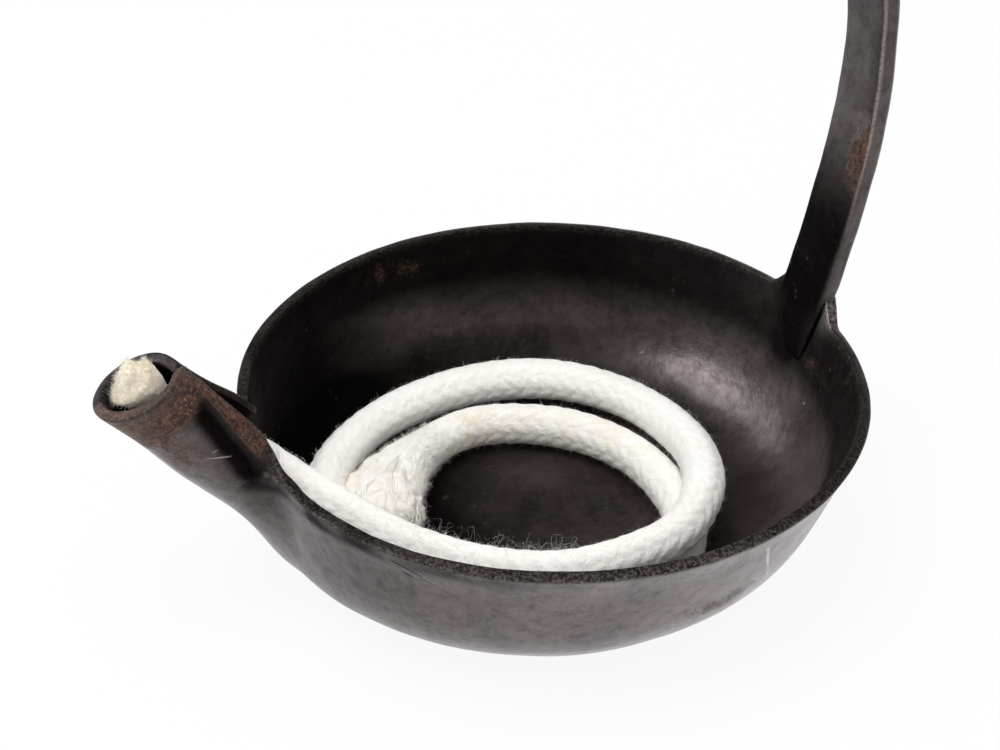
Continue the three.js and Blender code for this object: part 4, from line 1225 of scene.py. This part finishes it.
def addLines(t, group, lines, breaks):
    # All lines of one kind as one mask
    total = 0.0
    for start, end, width in lines:
        node = t.add("ShaderNodeGroup", node_tree=group)
        node.inputs["Start"].default_value = [v * mm for v in start]
        node.inputs["End"].default_value = [v * mm for v in end]
        node.inputs["Width"].default_value = width * mm
        node.inputs["Breaks"].default_value = breaks
        total = t.math("ADD", node.outputs["Mask"], total, True)
    return total


# span pairs are (from, to); scratches and dents are (start, end, width)
# the near black after brown is painted shade for shaded places and dents; the edge tone is lighter wear
# and painted highlight
ironFinish = dict(dark=(0.012, 0.0085, 0.0085), pale=(0.050, 0.036, 0.035), mottle=46.0,
                  grain=(0.080, 0.060, 0.056), grainShare=0.45, brown=(0.024, 0.014, 0.010),
                  shadeBlack=(0.0016, 0.0014, 0.0012), edge=(0.36, 0.31, 0.28), edgeShare=0.34,
                  flecks=(0.42, 0.66), scratch=(0.62, 0.60, 0.58), crack=(0.002, 0.002, 0.002),
                  rustShare=0.85, smooth=0.26, rough=0.42, outerPolish=0.4, hammer=0.35, scale=0.55,
                  gloss=(1.0, 0.84, 0.85), glossIor=2.08, film=0.3, filmRough=0.2, haze=0.35,
                  hazeRough=0.35,
                  scratches=[((20.4, -55.4, 33.0), (22.6, -51.7, 24.2), 0.5),
                             ((21.0, -54.7, 29.2), (23.9, -49.2, 19.7), 0.5),
                             ((22.6, -51.7, 24.2), (25.8, -45.4, 13.9), 0.45),
                             ((-70.7, -8.8, 37.1), (-64.4, -8.9, 36.4), 0.2),
                             ((-69.2, -8.9, 38.0), (-66.4, -8.8, 39.0), 0.12),
                             ((52.6, -1.2, 17.6), (52.9, -1.0, 18.2), 0.4)],
                  dents=[((-65.6, -8.7, 28.6), (-57.9, -9.9, 33.4), 1.5),
                         ((-45.2, -39.0, 30.2), (-41.6, -41.8, 28.9), 0.45),
                         ((-42.6, -40.9, 29.6), (-39.4, -43.0, 27.6), 0.55),
                         ((-40.4, -42.0, 27.6), (-36.9, -44.0, 26.2), 0.5),
                         ((-38.2, -43.4, 27.2), (-34.6, -45.2, 25.2), 0.4),
                         ((-43.6, -39.6, 27.9), (-40.8, -41.4, 26.9), 0.35)])
barFinish = {**ironFinish, "hammer": 0.5, "edgeShare": 0.1, "flecks": (0.34, 0.54), "film": 0.2,
             "glossIor": 1.7, "dents": [], "scratches": [((62.5, 6.5, 60.0), (63.8, 5.2, 66.0), 0.25)]}


def makeIron(name, m, rustGroup, lineGroup):
    # Oil-blackened forged iron: dark scale with slow mottling, hammered and pitted bump, fine
    # rubbed grain, edges lighter by wear and painted highlight, painted shade where the marks ask,
    # and grains of rust where the marks ask for them
    material = bpy.data.materials.new(name)
    material.use_nodes = True
    t = NodeTree(material.node_tree)
    place = t.objectPlace()
    mottle = t.noise(place, m["mottle"], 4, 0.62, 0.5)
    fine = t.noise(place, 700, 5, 0.7)
    rustMark, dullShade = t.mark("rust"), t.mark("dullShade")
    colour = t.blend(t.span(mottle, 0.32, 0.7), m["dark"], m["pale"])
    colour = t.blend(t.product(t.span(fine, 0.50, 0.72), m["grainShare"]), colour, m["grain"])
    colour = t.blend(t.product(rustMark, 0.6), colour, m["brown"])
    # painted shade: near black where the mark asks for it
    colour = t.blend(t.product(dullShade, 0.97), colour, m["shadeBlack"])
    # rubbed edges, lighter partly from wear and partly as a painted highlight, broken up so they wear
    # in flecks
    rubbedAndLit = t.product(t.mark("rim"), t.span(t.noise(place, 1600, 6, 0.85), *m["flecks"]))
    rubbedAndLit = t.less(rubbedAndLit, t.product(dullShade, 0.6))
    rubbedAndLit = t.math("MULTIPLY", rubbedAndLit, t.math("ADD", m["edgeShare"], t.mark("wearAndHighlight")), True)
    colour = t.blend(t.product(rubbedAndLit, 0.8), colour, m["edge"])
    scratch = addLines(t, lineGroup, m["scratches"], 0.6)
    dents = addLines(t, lineGroup, m["dents"], 0.25)
    colour = t.blend(t.product(scratch, 0.85), colour, m["scratch"])
    # painted shade in the dents and the spout's crease
    colour = t.blend(t.product(dents, 0.8), colour, m["shadeBlack"])
    rust = t.add("ShaderNodeGroup", node_tree=rustGroup)
    t.link(rustMark, rust.inputs["Amount"])
    rustMask = rust.outputs["Mask"]
    colour = t.blend(t.product(rustMask, m["rustShare"]), colour, rust.outputs["Colour"])
    # small flecks of lifted scale, and the crack
    lifted = t.span(t.cells(place, 520), 0.30, 0.10)
    lifted = t.product(lifted, t.span(t.noise(place, 150, 3), 0.56, 0.66))
    colour = t.blend(t.product(lifted, 0.35), colour, m["grain"])
    crack = t.mark("crack")
    colour = t.blend(crack, colour, m["crack"])
    # rougher where it is rusty or shade is painted, smoother outside
    rough = t.span(t.noise(place, 75, 5, 0.7, 0.4), 0.3, 0.72, m["smooth"], m["rough"])
    rough = t.less(rough, t.product(t.mark("outer"), m["outerPolish"]))
    rough = t.math("ADD", rough, t.product(t.math("MAXIMUM", rustMask, dullShade), 0.3), True)
    # relief, from hammer marks down to grit, then rust, cuts and dents
    normal = t.bump(t.noise(place, 85, 2, 0.5), 0.0010, m["hammer"])
    normal = t.bump(t.noise(place, 330, 5, 0.62), 0.00025, m["scale"], normal)
    normal = t.bump(t.noise(place, 1700, 3, 0.7), 0.00005, 0.7, normal)
    normal = t.bump(t.product(rustMask, fine), 0.00025, 0.55, normal)
    cut = t.math("ADD", t.product(scratch, 0.3), crack)
    normal = t.bump(t.math("SUBTRACT", 1.0, cut, True), 0.0003, 0.6, normal)
    normal = t.bump(t.math("SUBTRACT", 1.0, dents), 0.0005, 0.8, normal)
    # a film of oil over it, thinner on rust and missing where shade is painted
    dull = t.math("MAXIMUM", t.product(rustMask, 0.8), t.product(dents, 0.8))
    dull = t.math("MAXIMUM", t.product(dullShade, 0.95), dull)
    spotted = t.span(t.noise(place, 420, 6, 0.75), 0.3, 0.62, 0.5, 1.0)
    wet = t.product(t.math("SUBTRACT", 1.0, dull), spotted)
    wet = t.product(wet, t.span(mottle, 0.3, 0.66, 0.78, 1.0))
    shader = t.add("ShaderNodeBsdfPrincipled")
    t.link(colour, shader.inputs["Base Color"])
    t.link(rough, shader.inputs["Roughness"])
    t.link(normal, shader.inputs["Normal"])
    t.link(normal, shader.inputs["Coat Normal"])
    t.link(t.product(wet, 0.5), shader.inputs["Specular IOR Level"])
    t.link(t.product(wet, m["film"]), shader.inputs["Coat Weight"])
    t.link(t.product(wet, m["haze"]), shader.inputs["Sheen Weight"])
    shader.inputs["Specular Tint"].default_value = (*m["gloss"], 1)
    shader.inputs["Sheen Tint"].default_value = (*m["gloss"], 1)
    shader.inputs["IOR"].default_value = m["glossIor"]
    shader.inputs["Coat Roughness"].default_value = m["filmRough"]
    shader.inputs["Sheen Roughness"].default_value = m["hazeRough"]
    t.link(shader.outputs[0], t.add("ShaderNodeOutputMaterial").inputs["Surface"])
    return material


# the third and fourth tones are painted shade: in hollows between the stitches, and in the fibres' gaps
cottonFinish = dict(pale=(0.94, 0.925, 0.89), warm=(0.88, 0.83, 0.73), hollowShade=(0.74, 0.69, 0.60),
                    gap=(0.66, 0.62, 0.54), stain=(0.78, 0.60, 0.34), stainShare=0.75,
                    roughness=0.9, sheen=0.25, sheenRough=0.5, fibre=0.6)
mouthFinish = {**cottonFinish, "pale": (0.92, 0.87, 0.76), "warm": (0.90, 0.80, 0.60),
               "hollowShade": (0.86, 0.76, 0.57), "stain": (0.82, 0.60, 0.36), "stainShare": 0.38}


def makeCotton(name, m, marked):
    # Undyed cotton; where the piece is marked, also a warm painted shade between the stitches and in
    # hollows, faint stains, a bump of fine fibres, and painted shade in the gaps between fibres
    material = bpy.data.materials.new(name)
    material.use_nodes = True
    t = NodeTree(material.node_tree)
    place = t.objectPlace()
    warm = t.span(t.noise(place, 95, 3, 0.6), 0.45, 0.75)
    colour = t.blend(t.product(warm, 0.35), m["pale"], m["warm"])
    shader = t.add("ShaderNodeBsdfPrincipled")
    if marked:
        # painted shade in the hollows
        colour = t.blend(t.product(t.mark("hollowShade"), 0.45), colour, m["hollowShade"])
        stain = t.product(t.mark("stain"), t.span(t.noise(place, 210, 4, 0.6), 0.34, 0.64))
        colour = t.blend(t.product(stain, m["stainShare"]), colour, m["stain"])
        fibres = t.noise(place, 1500, 4, 0.75, 1.2)
        soft = t.bump(t.noise(place, 520, 3, 0.6, 0.8), 0.0006, 0.5)
        t.link(t.bump(fibres, 0.00025, m["fibre"], soft), shader.inputs["Normal"])
        # painted shade in the gaps between fibres
        colour = t.blend(t.product(t.span(fibres, 0.56, 0.36), 0.16), colour, m["gap"])
    t.link(colour, shader.inputs["Base Color"])
    shader.inputs["Roughness"].default_value = m["roughness"]
    shader.inputs["Sheen Weight"].default_value = m["sheen"]
    shader.inputs["Sheen Roughness"].default_value = m["sheenRough"]
    t.link(shader.outputs[0], t.add("ShaderNodeOutputMaterial").inputs["Surface"])
    return material


aNumber, aPlace, aColour = "NodeSocketFloat", "NodeSocketVector", "NodeSocketColor"
rustGroup = sharedGroup("rustGrains", {"Amount": aNumber}, {"Mask": aNumber, "Colour": aColour},
                        rustBuild)
lineGroup = sharedGroup("lineMark", {"Start": aPlace, "End": aPlace, "Width": aNumber,
                                     "Breaks": aNumber}, {"Mask": aNumber}, lineBuild)
ironSheet = makeIron("ironSheet", ironFinish, rustGroup, lineGroup)
ironBar = makeIron("ironBar", barFinish, rustGroup, lineGroup)
cottonRope = makeCotton("cottonRope", cottonFinish, True)
cottonHair = makeCotton("cottonHair", cottonFinish, False)
cottonMouth = makeCotton("cottonMouth", mouthFinish, True)
mouthHair = makeCotton("mouthHair", mouthFinish, False)
print("materials made")

rope = makeWick(wick)
rope.data.materials.append(cottonRope)
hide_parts("wick_coil", "wick_in_spout")
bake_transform(rope)
print("rope laid,", round(wickLength, 1), "mm")

dress(makeBowl(), ironSheet, "lamp", "iron", "bowl_with_spout")
print("bowl raised")
dress(makeArm(arm), ironBar, "lamp", "iron", "arm_with_crook")
print("arm forged")
dress(makeFuzz(fuzz), cottonHair, "lamp", "cotton")
dress(makeStrays(fuzz), cottonHair, "lamp", "cotton")
looseYarns, looseHairs, tuftCore = makeTuft(tuft, tuftBody)
dress(looseYarns, cottonHair, "lamp", "cotton")
dress(looseHairs, cottonHair, "lamp", "cotton")
dress(tuftCore, cottonRope, "lamp", "cotton")
mouthBody, mouthHairs = makeMouthTuft(mouth)
dress(mouthBody, cottonMouth, "wick", "cotton")
dress(mouthHairs, mouthHair, "wick", "cotton")
print("fibres and tufts made")

# lamps and cards in metres
studio = dict(floorAlbedo=0.8, floorGlow=0.92, floorHalf=3.0, floorDrop=0.00015, worldDiffuse=0.64,
              blackness=0.01, aim=(0, 0, 0.02))
lamps = [dict(name="key", place=(-0.3, -0.05, 1.05), size=0.9, power=9.0, mirrored=False,
              lighting=True),
         dict(name="softbox", place=(-0.83, 0.30, 0.49), size=1.0, power=12.5, mirrored=True,
              lighting=False)]
cards = [dict(name="card_front", place=(0, -1.35, 0.75), aim=(0, 0, 0.75), size=(2.7, 1.3)),
         dict(name="card_right", place=(1.35, 0, 0.75), aim=(0, 0, 0.75), size=(2.7, 1.3)),
         dict(name="card_back", place=(0, 1.35, 0.75), aim=(0, 0, 0.75), size=(2.7, 1.3)),
         dict(name="card_left", place=(-1.35, 0, 0.75), aim=(0, 0, 0.75), size=(2.7, 1.3)),
         dict(name="card_top", place=(0, 0, 1.4), aim=(0, -0.0001, 0), size=(2.7, 2.7))]


def cameraShare(t):
    # 1 for rays from the camera, off gloss and through glass, where the white ground is seen
    rays = t.add("ShaderNodeLightPath").outputs
    seen = t.math("MAXIMUM", rays["Is Camera Ray"], rays["Is Glossy Ray"])
    return t.math("MAXIMUM", seen, rays["Is Transmission Ray"])


def flatPiece(name, corners, material):
    # One flat quad from its corners in metres, kept off the object's own pieces
    piece = makeMesh(name, np.array(corners) / mm, [np.array([[0, 1, 2, 3]])])
    piece.data.materials.append(material)
    return piece


def makeFloor(s):
    # A matte floor that glows white to the camera, and keeps a shadow by the rest of its colour
    material = bpy.data.materials.new("whiteGround")
    material.use_nodes = True
    t = NodeTree(material.node_tree)
    matte = t.add("ShaderNodeBsdfDiffuse")
    matte.inputs["Color"].default_value = (s["floorAlbedo"],) * 3 + (1,)
    glow = t.add("ShaderNodeEmission")
    mix = t.add("ShaderNodeMixShader")
    t.link(t.product(cameraShare(t), s["floorGlow"]), mix.inputs[0])
    t.link(matte.outputs[0], mix.inputs[1])
    t.link(glow.outputs[0], mix.inputs[2])
    t.link(mix.outputs[0], t.add("ShaderNodeOutputMaterial").inputs["Surface"])
    half, z = s["floorHalf"], -s["floorDrop"]
    corners = [(-half, -half, z), (half, -half, z), (half, half, z), (-half, half, z)]
    flatPiece("floor", corners, material)


def makeLamp(m, aim):
    # A round lamp turned to the aim; mirrored and lighting say what it acts on
    data = bpy.data.lights.new(m["name"], "AREA")
    data.shape, data.size, data.energy = "DISK", m["size"], m["power"]
    holder = bpy.data.objects.new(m["name"], data)
    pose = (Vector(m["place"]) - Vector(aim)).to_track_quat("Z", "Y").to_matrix().to_4x4()
    pose.translation = Vector(m["place"])
    holder.matrix_world = pose
    holder.visible_glossy, holder.visible_diffuse = m["mirrored"], m["lighting"]
    bpy.context.scene.collection.objects.link(holder)


def makeBlack(value):
    # A matte grey of one value
    material = bpy.data.materials.new("blackCard")
    material.use_nodes = True
    t = NodeTree(material.node_tree)
    matte = t.add("ShaderNodeBsdfDiffuse")
    matte.inputs["Color"].default_value = (value, value, value, 1)
    t.link(matte.outputs[0], t.add("ShaderNodeOutputMaterial").inputs["Surface"])
    return material


def makeCard(c, black):
    # A black card that only reflections see
    place, aim = Vector(c["place"]), Vector(c["aim"])
    turn = (place - aim).to_track_quat("Z", "Y").to_matrix()
    wide, high = c["size"][0] / 2, c["size"][1] / 2
    offsets = [(-wide, -high, 0), (wide, -high, 0), (wide, high, 0), (-wide, high, 0)]
    corners = [tuple(place + turn @ Vector(offset)) for offset in offsets]
    card = flatPiece(c["name"], corners, black)
    card.visible_camera = card.visible_diffuse = False
    card.visible_shadow = card.visible_transmission = False


def makeStudio(s):
    # Floor, white world at a share of its strength for lighting, lamps and cards
    makeFloor(s)
    world = bpy.data.worlds.new("studio")
    bpy.context.scene.world = world
    world.use_nodes = True
    t = NodeTree(world.node_tree)
    sky = t.add("ShaderNodeBackground")
    sky.inputs["Color"].default_value = (1, 1, 1, 1)
    seen = t.product(cameraShare(t), 1 - s["worldDiffuse"])
    t.link(t.math("ADD", seen, s["worldDiffuse"]), sky.inputs["Strength"])
    t.link(sky.outputs[0], t.add("ShaderNodeOutputWorld").inputs["Surface"])
    for lamp in lamps:
        makeLamp(lamp, s["aim"])
    black = makeBlack(s["blackness"])
    for card in cards:
        makeCard(card, black)
    bpy.context.scene.view_settings.view_transform = "Standard"


makeStudio(studio)
print("studio lit")
